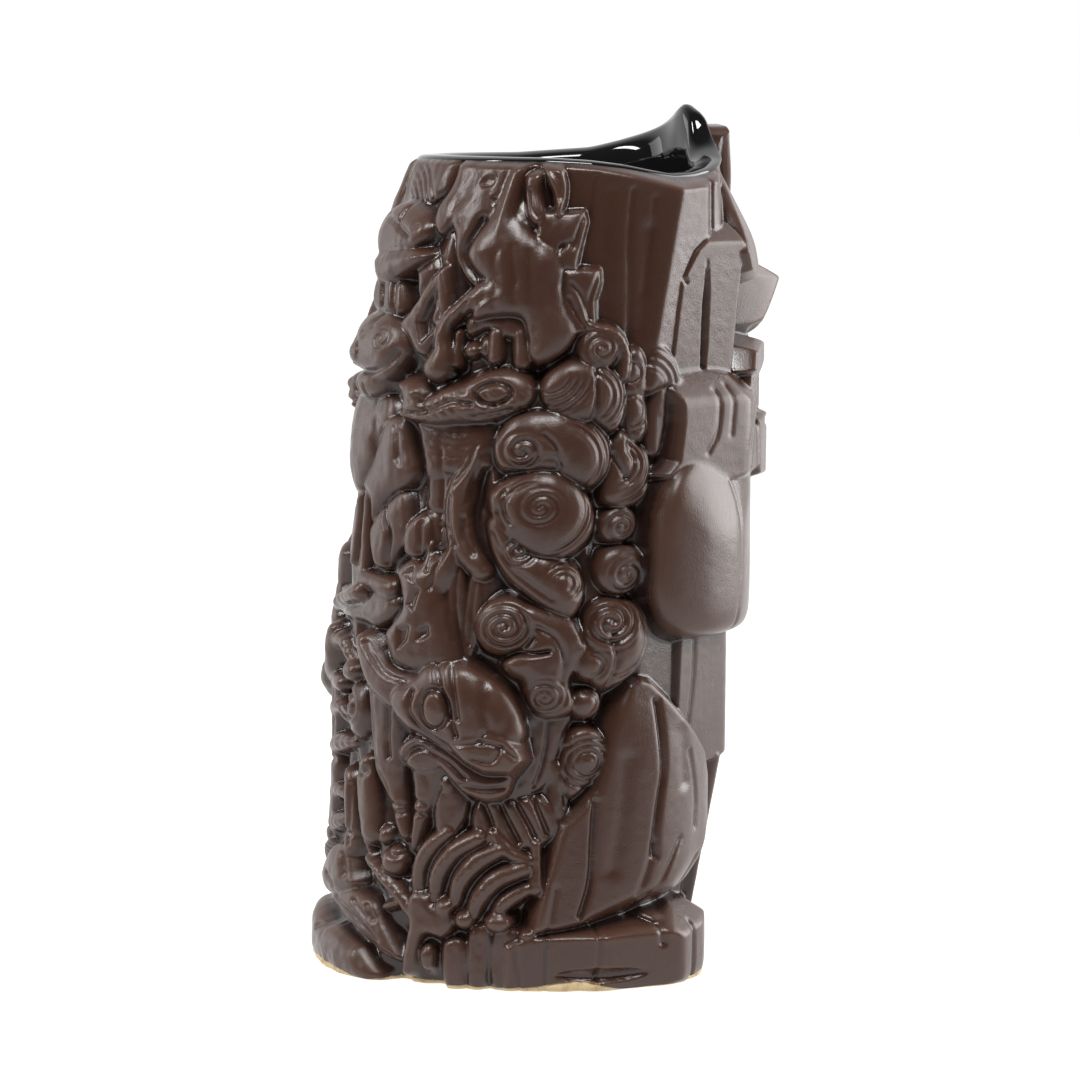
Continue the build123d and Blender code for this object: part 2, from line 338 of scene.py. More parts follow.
# ---- creatures and clouds on the sides
def rearing_beast(u, z):
    back = plate([
        (-20, 169), (-22, 160), (-23.2, 153), (-21, 149.5), (-19.5, 145), (-17, 141), (-12.5, 138),
        (-10, 140), (-4, 150), (-8.6, 158), (-6, 169),
    ], u, z, 1.8, 3.8, 5)
    back -= groove([
        (-14.8, 152), (-16.6, 148), (-17.6, 145.6), (-16.4, 143), (-14, 140.8), (-12, 139.6),
    ], u, z, 1.0, 1.7)
    trunk = plate([
        (-13, 154), (-15, 150), (-16.3, 147.4), (-16.4, 145.4), (-14.4, 142.6), (-12.2, 139.6),
        (-14.2, 136), (-14, 132.8), (-10, 133.5), (-5, 133.3), (-3.4, 129.5), (-3, 126), (-1, 124.3),
        (3, 126.2), (6, 130.5), (4, 134.5), (2.6, 139), (2.6, 143), (1.2, 146.4), (-2, 148.4),
        (-5.5, 151), (-8.2, 153.5), (-8.6, 158), (-9, 164), (-12, 162),
    ], u, z, 2.4, 5.4, 5.5)
    leg = limb(
        u, z, (-11, 139, 2.8, 3.2), (-15.4, 136, 1.9, 3.0), (-19.2, 132.8, 1.6, 2.8),
        (-20.4, 129.6, 1.7, 3.0), (-20.0, 126, 2.3, 3.0), (-20.8, 123.4, 3.5, 4.0), base=1.2,
    )
    total = join([back, trunk, leg], 1.0)
    total -= grooves([
        [(-15.2, 136.4), (-16, 135), (-16.6, 133.6)], [(-13.6, 156.5), (-13, 155.3)],
    ], u, z, 0.4, 0.7)
    total -= grooves([
        [(-10.5, 146), (-9.8, 140), (-10, 136)], [(-7.5, 147), (-6.5, 141), (-6.5, 137)],
        [(-4.4, 146), (-3.6, 141), (-3.4, 137)],
    ], u, z, 0.9, 0.35)
    return total - ball(u, z, -16, 159.6, 1.7, 1.3, 0.5).clip(0)


def belly_folds(u, z):
    """What shows in the shadow under the beast: a fold of hide and the stubs of its far legs."""
    fold = plate([
        (-15.6, 133.5), (-9, 134), (-3.6, 133), (-3.4, 129.6), (-7, 129.2), (-11, 131), (-15.4, 129.6),
    ], u, z, 1.4, 2.6, 2)
    stubs = [
        limb(u, z, (-9.6, 130, 1.5, 1.8), (-9.4, 125.4, 1.7, 2.2), base=1.2),
        limb(u, z, (-5, 130, 1.4, 1.8), (-4.2, 124.6, 1.8, 2.4), base=1.2),
        ball(u, z, -14.2, 126.6, 1.7, 1.6, 1.8, base=1.2),
        ball(u, z, -11.6, 127.4, 1.2, 2.2, 1.4, base=0.8),
        limb(u, z, (-17.4, 130, 0.8, 1.2), (-17, 124, 0.9, 1.4), base=1.4),
    ]
    return join([fold, *stubs], 0.3)


def beast_jaws(u, z):
    lower = plate([
        (-8.6, 161), (-7.2, 156), (-6, 153), (-4.1, 151.2), (-2.5, 152.3), (-3.1, 155), (-4.6, 158),
        (-5, 161.5),
    ], u, z, 2.6, 4.4, 1.6)
    upper = plate([
        (-6.5, 165), (-2.5, 163.5), (0, 160), (0.8, 156.5), (0.5, 153), (-0.7, 153.6), (-1.8, 157),
        (-4.2, 160.3),
    ], u, z, 2.8, 5.0, 1.8)
    return join([lower, upper], 0.6) - grooves([
        [(-4.5, 162.5), (-1.6, 160), (-0.3, 156.5)], [(-6.6, 158), (-5.2, 154.5), (-4, 153)],
    ], u, z, 0.45, 0.7)


def leaf_crest(u, z):
    first = plate([
        (-4, 154), (1, 153.6), (4.8, 153.9), (5.8, 151.8), (5.3, 147.5), (4.6, 142.6), (1, 143), (-3, 148),
    ], u, z, 2.2, 2.9, 3, sharp=True)
    second = plate([
        (2.6, 142.4), (6, 142.6), (9.3, 142.4), (9.5, 140), (8.5, 136.5), (9, 131), (5, 130), (2.5, 136),
    ], u, z, 2.3, 3.0, 3, sharp=True)
    cuts = grooves([
        [(4.8, 153), (3.8, 147)], [(3, 148), (1.5, 147)], [(9, 141.8), (7.6, 137), (8, 133)],
        [(4, 140), (6, 137.5), (7.5, 133)], [(3.8, 137), (5.6, 133.5), (7.4, 131)],
        [(2, 147.5), (0.8, 145.6)],
    ], u, z, 0.5, 0.6)
    return join([first, second], 0.3) - cuts + 1.0


def owl(u, z):
    hood = plate([(-46, 166), (-44, 158), (-40, 155), (-33, 154.4), (-28.8, 156), (-26.2, 159), (-27, 166)],
                 u, z, 0.6, 2.6, 4)
    hood -= ripples(u, z, -44, 150, 6, 16, 1.5, 0.4, 45, 40)
    face = plate([
        (-47, 150), (-43, 154.4), (-37, 155.6), (-31.6, 154.2), (-27.6, 151.6), (-27, 149), (-30, 146.2),
        (-36, 145), (-43, 144),
    ], u, z, 2.6, 4.8, 3.6)
    face -= grooves([
        [(-44, 153.4), (-37.6, 151.6), (-31.4, 149)], [(-35, 154.6), (-35.6, 151.6)],
    ], u, z, 0.5, 0.6)
    beak = plate([
        (-44, 145), (-43, 140.6), (-38, 139), (-31, 141.6), (-26, 144.6), (-29, 146.4), (-36, 146.4),
    ], u, z, 2.6, 5.2, 3.4)
    strap = plate([
        (-19.4, 166), (-20.2, 156), (-23.6, 149.4), (-26.6, 150.6), (-27.2, 154.6), (-25.4, 158.6),
        (-24.6, 166),
    ], u, z, 2.0, 3.4, 2.4)
    ear = ball(u, z, -50, 149.4, 3.6, 5.0, 2.4, base=1.4)
    return join([hood, face, beak, strap, ear], 1.0)


def bat_ears(u, z):
    near = plate([
        (-22, 142.6), (-24.4, 140.4), (-27, 136.6), (-29.2, 133.6), (-31.4, 131.8), (-29, 129.5),
        (-26, 126), (-23.6, 125.5), (-21, 131), (-19.4, 134.5), (-20.2, 138),
    ], u, z, 3.0, 3.6, 1.5, sharp=True)
    near -= hollow([
        (-22.4, 139.6), (-24.8, 136), (-26.6, 132), (-25, 127.5), (-22.4, 130), (-20.8, 134),
    ], u, z, 2.0)
    fold = limb(u, z, (-22.7, 139, 0.6, 0.8), (-21.8, 134.5, 1.2, 1.4), (-22.2, 132.4, 1.3, 1.4), base=1.8)
    square = plate([
        (-29.4, 142), (-25, 144.4), (-23.8, 142.2), (-28, 136.2),
    ], u, z, 1.8, 2.6, 2, sharp=True)
    far = plate([
        (-44, 139.5), (-41, 142), (-37.5, 141.5), (-33.5, 140), (-32, 137.5), (-31.5, 133.5), (-36, 133),
        (-43, 134),
    ], u, z, 2.2, 4.2, 3)
    far -= grooves([[(-34.5, 139), (-33.6, 134)], [(-38.6, 141), (-38, 135)]], u, z, 0.7, 0.9)
    return join([near, fold, square, far], 0.5)


def bat_head(u, z):
    dome = ball(u, z, -39.5, 127, 11.5, 6.8, 4.6, base=2.0)
    snout = ball(u, z, -44.0, 125.4, 4.6, 3.8, 3.2, base=4.0)
    chin = ball(u, z, -40, 119.6, 6.5, 3.6, 3.4, base=2.4, turn=6)
    cheek = ball(u, z, -34.5, 123.6, 4.5, 3.6, 2.6, base=3.0, turn=30)
    total = join([dome, snout, chin, cheek], 0.9)
    total -= curl(u, z, -34, 128.4, 2.6, 1.4, 0.5, 0.3)
    total -= ripples(u, z, -44, 125.4, 1.2, 3.6, 1.3, 0.8)
    total -= grooves([
        [(-41, 129.6), (-38.4, 131.4), (-36.6, 133)], [(-40, 128.4), (-37.4, 130.6)],
    ], u, z, 0.4, 0.6)
    total -= groove([(-48, 121.8), (-42, 121.6), (-37, 121.6), (-32, 123.4), (-30, 126)], u, z, 0.6, 1.0)
    return total - grooves([[(-42, 119), (-41.8, 117)], [(-39, 119), (-39, 117)]], u, z, 0.4, 0.6)


def bat_body(u, z):
    chest = ball(u, z, -44, 108, 8.5, 12, 3.6, base=1.2)
    shoulder = ball(u, z, -36, 112, 5, 6, 2.2, base=1.0, turn=30)
    total = join([chest, shoulder], 1.2)
    total = smooth_max(total, limb(u, z, (-41.5, 97, 1.6, 2.4), (-42.5, 83, 1.4, 2.0), base=1.0), 0.8)
    total = smooth_max(total, limb(u, z, (-37.6, 97, 1.4, 2.4), (-37.0, 82, 1.5, 2.2), base=1.0), 0.8)
    return total - groove([(-50, 92), (-44, 95.5), (-40, 98.5), (-36, 104), (-34, 110)], u, z, 0.6, 0.8)


def bat_wings(u, z):
    upper = plate([
        (-35, 108.5), (-33, 112), (-30, 113.2), (-27, 112.4), (-25.6, 107), (-24.4, 102.5), (-26, 99.6),
        (-30, 97.3), (-33, 94.5), (-35.2, 91.5), (-36.4, 96), (-40, 98.6), (-37, 103),
    ], u, z, 2.0, 4.0, 4)
    lower = plate([
        (-35.4, 90.5), (-32.5, 94.5), (-30.5, 96.2), (-27, 98.3), (-25, 94.3), (-24.4, 90), (-27, 86),
        (-29.5, 83), (-32.5, 83), (-34.6, 86),
    ], u, z, 2.0, 3.6, 3.5)
    fold = groove([(-31.6, 96), (-30, 92.5), (-28.6, 89.6), (-29.4, 84)], u, z, 0.6, 1.2)
    bit = plate([
        (-24.8, 92), (-22, 93.9), (-20.4, 92.4), (-19.6, 88.6), (-21.8, 85.6), (-25.2, 86.6),
    ], u, z, 2.0, 3.4, 2)
    bit -= groove([(-21.6, 92.6), (-21.2, 89), (-21.4, 87)], u, z, 0.5, 0.8)
    upper -= grooves([[(-28.6, 110), (-27.4, 104)], [(-29.8, 111), (-28.2, 105)]], u, z, 0.45, 0.5)
    return join([upper, lower - fold, bit], 0.4)


def lizard_head(u, z):
    skull = plate([
        (-29.6, 119.9), (-26, 120.6), (-22.8, 119.4), (-21, 118.2), (-18.5, 119.2), (-15, 120.2),
        (-12, 121.8), (-8, 123), (-4, 122.3), (-1.4, 119.4), (-2.2, 116.2), (-5, 114.6), (-9, 113.2),
        (-15, 112.6), (-20, 112.2), (-25, 112.6), (-28.3, 113.2), (-28.6, 115.2), (-27.6, 117),
    ], u, z, 2.8, 5.6, 3.6)
    total = join([skull, ball(u, z, -24.6, 118.2, 1.5, 1.3, 1.0, base=5.0)], 0.3)
    total -= hollow([(-23.2, 116.4), (-21.6, 117.2), (-22, 115.6)], u, z, 0.9)
    total -= groove([
        (-28.4, 114.8), (-24.5, 114.2), (-20.5, 114.8), (-16, 116.8), (-12.5, 116.4),
    ], u, z, 0.5, 1.0)
    total -= groove([(-21, 118), (-22.6, 116.6), (-21.8, 115)], u, z, 0.5, 0.9)
    total -= groove([(-12, 113.8), (-9, 114.6), (-5.4, 115.6)], u, z, 0.5, 0.8)
    lid = [(-11.8, 118.6), (-10, 120.3), (-7.4, 120.6), (-5.4, 119), (-7, 117), (-9.8, 116.6)]
    total -= groove(lid, u, z, 0.45, 1.2, closed=True)
    total = smooth_max(total, ball(u, z, -8.5, 118.6, 1.5, 1.2, 0.7, base=5.2), 0.3)
    return total - 0.35 * np.clip(np.sin(u * 2.1) * np.sin(z * 2.3 + u), 0, 1) * np.clip(120 - z, 0, 1)


def lizard_neck(u, z):
    band = plate([
        (-27, 112.5), (-24.8, 110.5), (-23, 105), (-22.2, 101.4), (-18, 101.6), (-13.5, 102.8), (-9, 104),
        (-8, 113), (-16, 114),
    ], u, z, 1.4, 2.6, 3, sharp=True)
    lower = plate([
        (-22.4, 103), (-11, 104), (-12, 96), (-12.6, 88), (-19, 87), (-21.6, 93),
    ], u, z, 0.9, 1.7, 3, sharp=True)
    total = join([band, lower], 0.8)
    total -= grooves([
        [(-18.9, 107.2), (-18.2, 99), (-17.8, 89)], [(-26, 112), (-23.5, 106), (-21.8, 97.5)],
        [(-21.6, 95), (-17, 94.4), (-14, 95.2)], [(-18, 92), (-14.6, 91.2)], [(-17.8, 103), (-13, 102.4)],
    ], u, z, 0.5, 0.4)
    return total - ripples(u, z, -16, 132, 19, 27, 2.4, 0.1, -90, 40)


def smoke_strand(u, z):
    total = limb(
        u, z, (-10.8, 109, 1.2, 1.6), (-12.3, 104, 2.0, 2.4), (-14.4, 100, 2.4, 2.6),
        (-14.6, 95, 2.6, 2.8), (-13, 88.5, 2.6, 2.8), (-9, 83.5, 2.0, 2.4), base=0.8,
    )
    return total - grooves([
        [(-11.6, 108.5), (-12.8, 104.5), (-15.2, 101)], [(-9.8, 108), (-11.6, 103), (-12.8, 97)],
        [(-15.8, 98), (-15.6, 93), (-14, 88.6)], [(-13, 94), (-12.6, 90.5), (-10.6, 87)],
    ], u, z, 0.45, 0.8)


def scroll_upper(u, z):
    body = plate([
        (-8.4, 108.5), (-6.6, 112.6), (-4, 114.8), (0, 115.4), (4, 114.8), (8.6, 113.2), (11.6, 110.6),
        (13, 107), (12.2, 103), (9.6, 100.2), (6, 101), (2, 103.2), (-3, 103.4), (-7, 104),
    ], u, z, 2.6, 6.0, 6)
    total = body - ripples(u, z, 2.5, 105.5, 6.2, 11, 1.35, 0.75, 5, 75)
    total -= curl(u, z, -3, 107.6, 4.4, 2.0, 0.9, 0.25, -1)
    total -= groove([(0.5, 110.8), (2.6, 108.4), (3.4, 105), (3, 103)], u, z, 0.6, 0.8)
    return total - ripples(u, z, 1.5, 104, 1.0, 3.4, 1.1, 0.5, 60, 80)


def scroll_middle(u, z):
    body = plate([
        (-8.6, 98.5), (-6, 101.4), (-2, 103.2), (2, 103.6), (6, 101.6), (9.2, 98), (10.3, 93.4),
        (9, 89.4), (5, 86.4), (0, 87), (-4, 90), (-7, 93),
    ], u, z, 2.8, 6.6, 7)
    total = body - curl(u, z, 0.6, 96.6, 4.6, 1.7, 0.55, 0.6, -1)
    total -= ripples(u, z, -0.6, 96.4, 3.6, 6.6, 1.3, 0.7, 150, 70)
    total -= ripples(u, z, 0.2, 96, 7.0, 11.2, 1.3, 0.85, -10, 75)
    return total - grooves([
        [(-5.6, 99.4), (-5.6, 96), (-4.2, 93.4)], [(-6.8, 95.8), (-5, 92.6)],
    ], u, z, 0.4, 0.8)


def scroll_lower(u, z):
    body = plate([
        (-8.6, 93), (-6.6, 95), (-3.6, 91.6), (0, 88), (4, 86.6), (7.6, 85), (9.4, 81), (9, 77),
        (7.2, 74.6), (4, 75.6), (0, 78.6), (-4, 82.4), (-7, 87),
    ], u, z, 2.2, 5.2, 5)
    total = body - curl(u, z, -2.6, 88, 3.6, 1.5, 1.0, 0.1)
    total -= ripples(u, z, 5.4, 81.6, 0.6, 4.6, 1.05, 0.8, 40, 110)
    return total - groove([(-7.4, 91), (-4.6, 85.6), (0, 81.4), (3.6, 78.6)], u, z, 0.7, 0.6)


def scroll_base(u, z):
    eye = ball(u, z, -4, 73, 5.4, 5.8, 3.6, base=1.8)
    body = plate([
        (-2, 77.6), (3, 76.4), (7.4, 74.6), (10.2, 71.4), (11.4, 68), (10, 65.2), (8, 62), (9.4, 57),
        (7.4, 55), (3, 55), (0.4, 58.6), (-0.6, 62), (-3, 63.6), (-4, 66), (-2, 68), (0, 69.6),
        (0.6, 71.4), (-1, 73.4),
    ], u, z, 2.0, 4.8, 4)
    total = join([eye, body], 0.8)
    total -= curl(u, z, -4, 73, 5.2, 1.6, 1.0, 0.4)
    total -= groove([(-4.4, 66.2), (-2, 67.8), (1.4, 67.8), (3.8, 68.2)], u, z, 0.5, 1.4)
    total -= curl(u, z, 3.6, 59, 4.6, 1.25, 0.8, 0.0)
    total -= grooves([[(1.6, 73), (4.6, 71), (6.4, 67), (6.2, 62)], [(8.8, 73), (10, 70)]], u, z, 0.6, 0.7)
    return total


def scroll_tail(u, z):
    stem = plate([
        (0.6, 56), (9, 56.5), (8, 50), (6.6, 44), (4, 40), (-3, 38), (0.6, 46),
    ], u, z, 0.8, 2.0, 3)
    return stem - grooves([[(4.7, 55), (4.5, 47), (3, 41)], [(1.6, 53), (2, 47.5)]], u, z, 0.4, 0.8)


def smoke_puffs(u, z):
    top = ball(u, z, 10, 127.2, 4.4, 4.4, 3.6, base=1.8)
    top -= curl(u, z, 10, 127.3, 3.6, 1.5, 0.8, 0.2)
    band = limb(
        u, z, (8, 131.6, 0.9, 1.6), (12.6, 130, 1.3, 2), (14.8, 126, 1.3, 2), (14.6, 121.6, 1.2, 2),
        base=2.4,
    )
    fan = plate([
        (-0.6, 119), (1, 122.6), (4.6, 125), (8.6, 124.6), (12.6, 123.4), (15.6, 119), (14.8, 113),
        (12.6, 110.8), (9, 112.6), (4, 113.4), (0.6, 115.6),
    ], u, z, 2.4, 5.4, 4)
    fan -= ripples(u, z, 0.6, 122.6, 2.6, 9.0, 1.25, 0.8, -50, 55)
    fan -= ripples(u, z, 7.6, 118, 3.4, 8.4, 1.3, 0.8, 5, 75)
    fan -= groove([(9.2, 124), (9.4, 118), (8.8, 113)], u, z, 0.5, 0.9)
    eye = plate([
        (15.4, 118), (15, 123), (16.2, 127), (18.6, 127), (20, 123.4), (19.6, 118),
    ], u, z, 1.8, 3.8, 2)
    eye -= ripples(u, z, 16.4, 122.4, 0.7, 3.0, 1.1, 0.8)
    cap = plate([(19.6, 118.6), (20, 124), (22, 127.4), (25, 126.4), (27.6, 122.6), (28, 119.6), (24, 119)],
                u, z, 2.6, 4.4, 2.4)
    cap -= ripples(u, z, 19.4, 119, 3.6, 9.4, 1.5, 0.6, 40, 60)
    drop = plate([
        (15.8, 118), (19.6, 118.4), (20.4, 112), (18.6, 108.6), (16.4, 109.8), (15.4, 113),
    ], u, z, 1.8, 4.0, 2)
    drop -= ripples(u, z, 16.6, 114.6, 1.4, 4.6, 1.1, 0.8, -10, 90)
    slope = plate([
        (20.4, 107), (20.8, 117), (22.6, 120.6), (25.4, 119), (24.6, 110), (23, 105.6),
    ], u, z, 1.8, 3.4, 2)
    pebble = ball(u, z, 24.8, 102.4, 2.4, 2.8, 2.4, base=1.4) - ripples(u, z, 23.6, 102, 0.8, 3.0, 1.0, 0.6)
    return join([top, band, fan, eye, cap, drop, slope, pebble], 0.3)


def smoke_big(u, z):
    body = plate([
        (12.4, 108.4), (14.8, 111.4), (18, 108.8), (20.8, 106.6), (21.4, 102), (20.2, 97.6), (16, 95.8),
        (11.6, 97.6), (12, 103),
    ], u, z, 1.8, 4.6, 4)
    total = body - ripples(u, z, 13.5, 104.5, 2.0, 8.6, 1.4, 0.8, -10, 80)
    return total - grooves([
        [(13, 106.6), (14.6, 103.6), (16, 101.4)], [(15.8, 108.5), (17.4, 105.5)],
    ], u, z, 0.5, 0.8)


def smoke_beads(u, z):
    first = ball(u, z, 15.4, 92.6, 3.9, 3.8, 2.6, base=1.4) - curl(u, z, 15.6, 92.2, 3.6, 1.5, 0.8, 0.3)
    second = ball(u, z, 16.4, 83.6, 5.2, 5.0, 2.8, base=1.6) - curl(u, z, 17, 82.6, 4.6, 1.7, 0.7, 0.6, -1)
    return join([first, second], 0.5)


def smoke_rose(u, z):
    body = plate([
        (10.4, 76), (13, 78.2), (16.6, 78), (20.2, 76.4), (22.6, 72.6), (22.9, 67.4), (20.6, 63),
        (15.5, 60), (12, 61), (10.6, 64.6), (9.6, 70),
    ], u, z, 1.8, 5.4, 5.5)
    total = body - curl(u, z, 14.2, 73.6, 6.2, 2.0, 1.0, 0.2)
    total -= ripples(u, z, 15, 70, 5.2, 9.6, 1.4, 0.8, -20, 75)
    total = smooth_max(total, ball(u, z, 11.6, 65.4, 3.2, 3.4, 2.4, base=2.8), 0.4)
    total -= ripples(u, z, 11.2, 65.2, 0.8, 3.2, 1.1, 0.8, 0, 110)
    return total - groove([(14.6, 71), (15.6, 66), (14.6, 61)], u, z, 0.6, 0.9)


def smoke_last(u, z):
    puff = ball(u, z, 11.4, 57.4, 3.0, 3.2, 2.8, base=1.4) - ripples(
        u, z, 11, 57.4, 1.2, 3.2, 1.1, 0.7, 20, 100,
    )
    disc = plate([
        (8.6, 50), (10, 52.2), (12.4, 52.4), (15, 50.8), (17, 46.6), (15.2, 43.2), (12.4, 40.4),
        (9.4, 38.6), (7.4, 42),
    ], u, z, 2.2, 4.0, 2.5)
    disc -= ripples(u, z, 12.2, 45.6, 1.1, 5.6, 1.25, 0.8)
    disc = smooth_max(disc, ball(u, z, 12.2, 45.8, 0.9, 0.9, 0.7, base=3.6), 0.3)
    root = plate([(6, 46), (9, 44), (10, 39), (8.6, 34), (5.6, 36), (6, 41)], u, z, 1.2, 2.4, 2)
    return join([puff, disc, root], 0.5) - groove([(9, 49), (8.6, 44), (9, 37)], u, z, 0.5, 0.8)


def spotted_hide(u, z):
    body = plate([
        (-19.4, 89), (-18.6, 87), (-17.6, 86.2), (-16.4, 87.4), (-14.8, 90), (-13.8, 87), (-13.8, 83),
        (-15.4, 79), (-13.2, 74), (-11.8, 69), (-11, 64), (-19, 63), (-22, 63.2), (-25.4, 64.6),
        (-26.8, 67.4), (-27.6, 70.4), (-25.6, 73), (-24, 76), (-25, 80), (-26, 83), (-23, 85.4),
        (-20.4, 85),
    ], u, z, 2.0, 4.6, 4)
    body -= hollow([(-23.9, 71.9), (-20.7, 72.9), (-21.2, 69.4), (-23.5, 66.8)], u, z, 0.8, 1.6)
    body -= hollow([(-19.5, 71.8), (-17.2, 73.3), (-16.7, 70.6), (-19.5, 69.2)], u, z, 0.8, 1.6)
    body -= hollow([(-22.4, 76.4), (-20.8, 80.4), (-19.4, 79.8), (-20.4, 75.2)], u, z, 0.8, 1.6)
    body -= hollow([(-24, 82.4), (-21.6, 84.2), (-20.4, 80.6)], u, z, 0.7, 1.6)
    body -= grooves([[(-19, 87.4), (-18.6, 83.5)], [(-15.4, 88), (-17, 84), (-17.8, 80)]], u, z, 0.45, 0.8)
    return body - groove([(-13.8, 80), (-14.2, 75), (-12.6, 70)], u, z, 0.4, 0.5)


def side_leaves(u, z):
    first = plate([
        (-14.8, 86), (-12.6, 84), (-11.6, 79), (-11.4, 72), (-9.6, 66), (-12.6, 66), (-14.6, 73),
        (-15.4, 79),
    ], u, z, 1.4, 2.8, 1.6)
    second = plate([
        (-10.8, 84), (-8.6, 80), (-8.6, 73), (-9.6, 67), (-11.4, 70), (-11.6, 78),
    ], u, z, 1.2, 2.6, 1.4)
    return join([first, second], 0.3) - grooves([
        [(-13.6, 85), (-13.4, 79), (-12.4, 72), (-11, 67)], [(-10, 82), (-10.2, 75), (-10.2, 69)],
    ], u, z, 0.4, 0.7)


def bull_horns(u, z):
    horn = plate([
        (-33.4, 69.9), (-34.6, 68.6), (-33.8, 65.2), (-32.2, 61.6), (-30, 58.8), (-27, 56.8), (-24, 55.6),
        (-20.5, 58), (-18.4, 62.6), (-22.6, 63.1), (-26, 64.6), (-29, 67.2), (-31.5, 69.6),
    ], u, z, 3.0, 5.4, 2.6)
    horn -= groove([(-31, 68), (-28.4, 65), (-25.4, 62.4), (-20.4, 61.2)], u, z, 0.5, 0.7)
    ear = plate([
        (-22.6, 46), (-21.8, 48.8), (-19.2, 50.8), (-16.8, 50.8), (-14, 49), (-12.8, 46), (-15, 43.8),
        (-19, 43.4),
    ], u, z, 3.0, 5.0, 2.2)
    ear -= groove([(-21.2, 45.6), (-19, 48), (-16.4, 48.6), (-14.2, 47.4)], u, z, 0.6, 1.2)
    return join([horn, ear], 0.3)


def bull_head(u, z):
    skull = plate([
        (-18.8, 63), (-17, 65), (-14, 65.9), (-10, 65.5), (-5, 62.6), (-1.8, 59.2), (0.1, 55), (0.8, 51.4),
        (-1, 48), (-5, 45.4), (-9.4, 46), (-13, 48.2), (-17, 50.6), (-20.4, 52), (-23.4, 55.6), (-22, 60),
    ], u, z, 3.4, 8.0, 7)
    jaw_bone = plate([
        (-19.4, 50.6), (-15.6, 50), (-12, 48.4), (-8.6, 45.6), (-5, 44), (-1, 44.4), (-1, 41.6),
        (-2.2, 39.2), (-5.4, 38.2), (-9, 39.6), (-12, 42.4), (-15, 45.8), (-18, 48.4),
    ], u, z, 3.2, 5.6, 2.4)
    muzzle = plate([
        (-11.6, 49.6), (-10, 51.8), (-6, 52.8), (-2.8, 52.2), (-0.4, 49.4), (0.4, 46.8), (-1.4, 44.4),
        (-5.6, 44.6), (-9, 46.6),
    ], u, z, 6.6, 8.2, 1.8, sharp=True)
    brow = ball(u, z, -20.6, 57.2, 2.8, 3.4, 1.8, base=5.2, turn=20)
    total = join([skull, brow], 0.8)
    total -= groove([
        (-16.6, 57), (-15.8, 60), (-13.8, 60.4), (-12, 58), (-12.2, 54.6), (-14, 52.8), (-16, 54),
    ], u, z, 0.5, 1.3, closed=True)
    total = smooth_max(total, ball(u, z, -14.2, 56.6, 1.7, 2.7, 1.2, base=6.9, turn=8), 0.4)
    total -= groove([(-18.6, 60), (-18.8, 56), (-17, 53), (-14, 50.4), (-11.8, 49.2)], u, z, 0.5, 1.0)
    total -= grooves([
        [(-15, 65.6), (-12.9, 60), (-11.4, 55), (-10.4, 51.6)], [(-12.2, 65.2), (-11, 60), (-10.2, 55)],
    ], u, z, 0.45, 1.2)
    total -= groove([(-6.4, 62), (-6.2, 57), (-5.2, 53)], u, z, 0.9, 0.4)
    total = join([total, jaw_bone, muzzle], 0.25)
    total -= grooves([
        [(-10.6, 49.8), (-6.4, 50.6), (-3, 49.8), (-0.4, 47.4)], [(-3, 49.8), (-4.4, 46.8), (-7.6, 47.4)],
        [(-6, 52.4), (-6.4, 50.6)],
    ], u, z, 0.4, 0.7)
    return total - grooves([
        [(-17, 48.6), (-12.4, 46.2), (-9, 43)], [(-10, 41.6), (-6, 41), (-2.4, 41.4)],
    ], u, z, 0.5, 0.8)


def bull_forelegs(u, z):
    first = plate([
        (-31.8, 61), (-31.4, 52), (-30.6, 47), (-29.6, 42.4), (-27, 38.6), (-25, 35), (-22.6, 29.6),
        (-20.6, 30), (-21.6, 36), (-22.2, 42), (-22, 45), (-22, 57), (-26, 62),
    ], u, z, 1.8, 3.8, 3)
    second = plate([
        (-20.2, 45), (-19.8, 38), (-20.2, 28), (-18.4, 28), (-16.6, 35), (-14, 41), (-13.6, 45),
    ], u, z, 1.8, 3.8, 2)
    total = join([first, second], 0.3)
    total -= groove([(-25.4, 57), (-25.6, 50), (-25.2, 45.6)], u, z, 0.6, 0.8)
    total -= groove([(-30, 59), (-29.6, 51), (-28.4, 44), (-25.6, 38.8)], u, z, 0.45, 0.4)
    return total - grooves([
        [(-26, 37), (-24, 36.2), (-22, 36.2)], [(-25, 34.9), (-23, 34.4), (-21.6, 34.8)],
        [(-19.6, 37.6), (-17, 37)], [(-19.8, 35.2), (-17.4, 34.8)],
    ], u, z, 0.45, 0.7)


def seed_pod(u, z):
    pod = plate([
        (-13.6, 42.6), (-11, 42), (-9, 37.4), (-10.6, 31.6), (-15, 31), (-15.8, 37),
    ], u, z, 1.4, 3.4, 2.6)
    knob = ball(u, z, -13, 41.2, 1.4, 1.8, 1.4, base=2.4)
    tail = plate([
        (-35.2, 42), (-33.2, 44.9), (-31, 44.8), (-30, 42), (-28.6, 36), (-28.2, 28), (-32.4, 28),
        (-35, 36),
    ], u, z, 1.8, 4.0, 2.6)
    tail -= groove([(-33.8, 41.6), (-32.4, 41.2), (-31.4, 42)], u, z, 0.6, 0.9)
    return join([pod, knob, tail], 0.5)


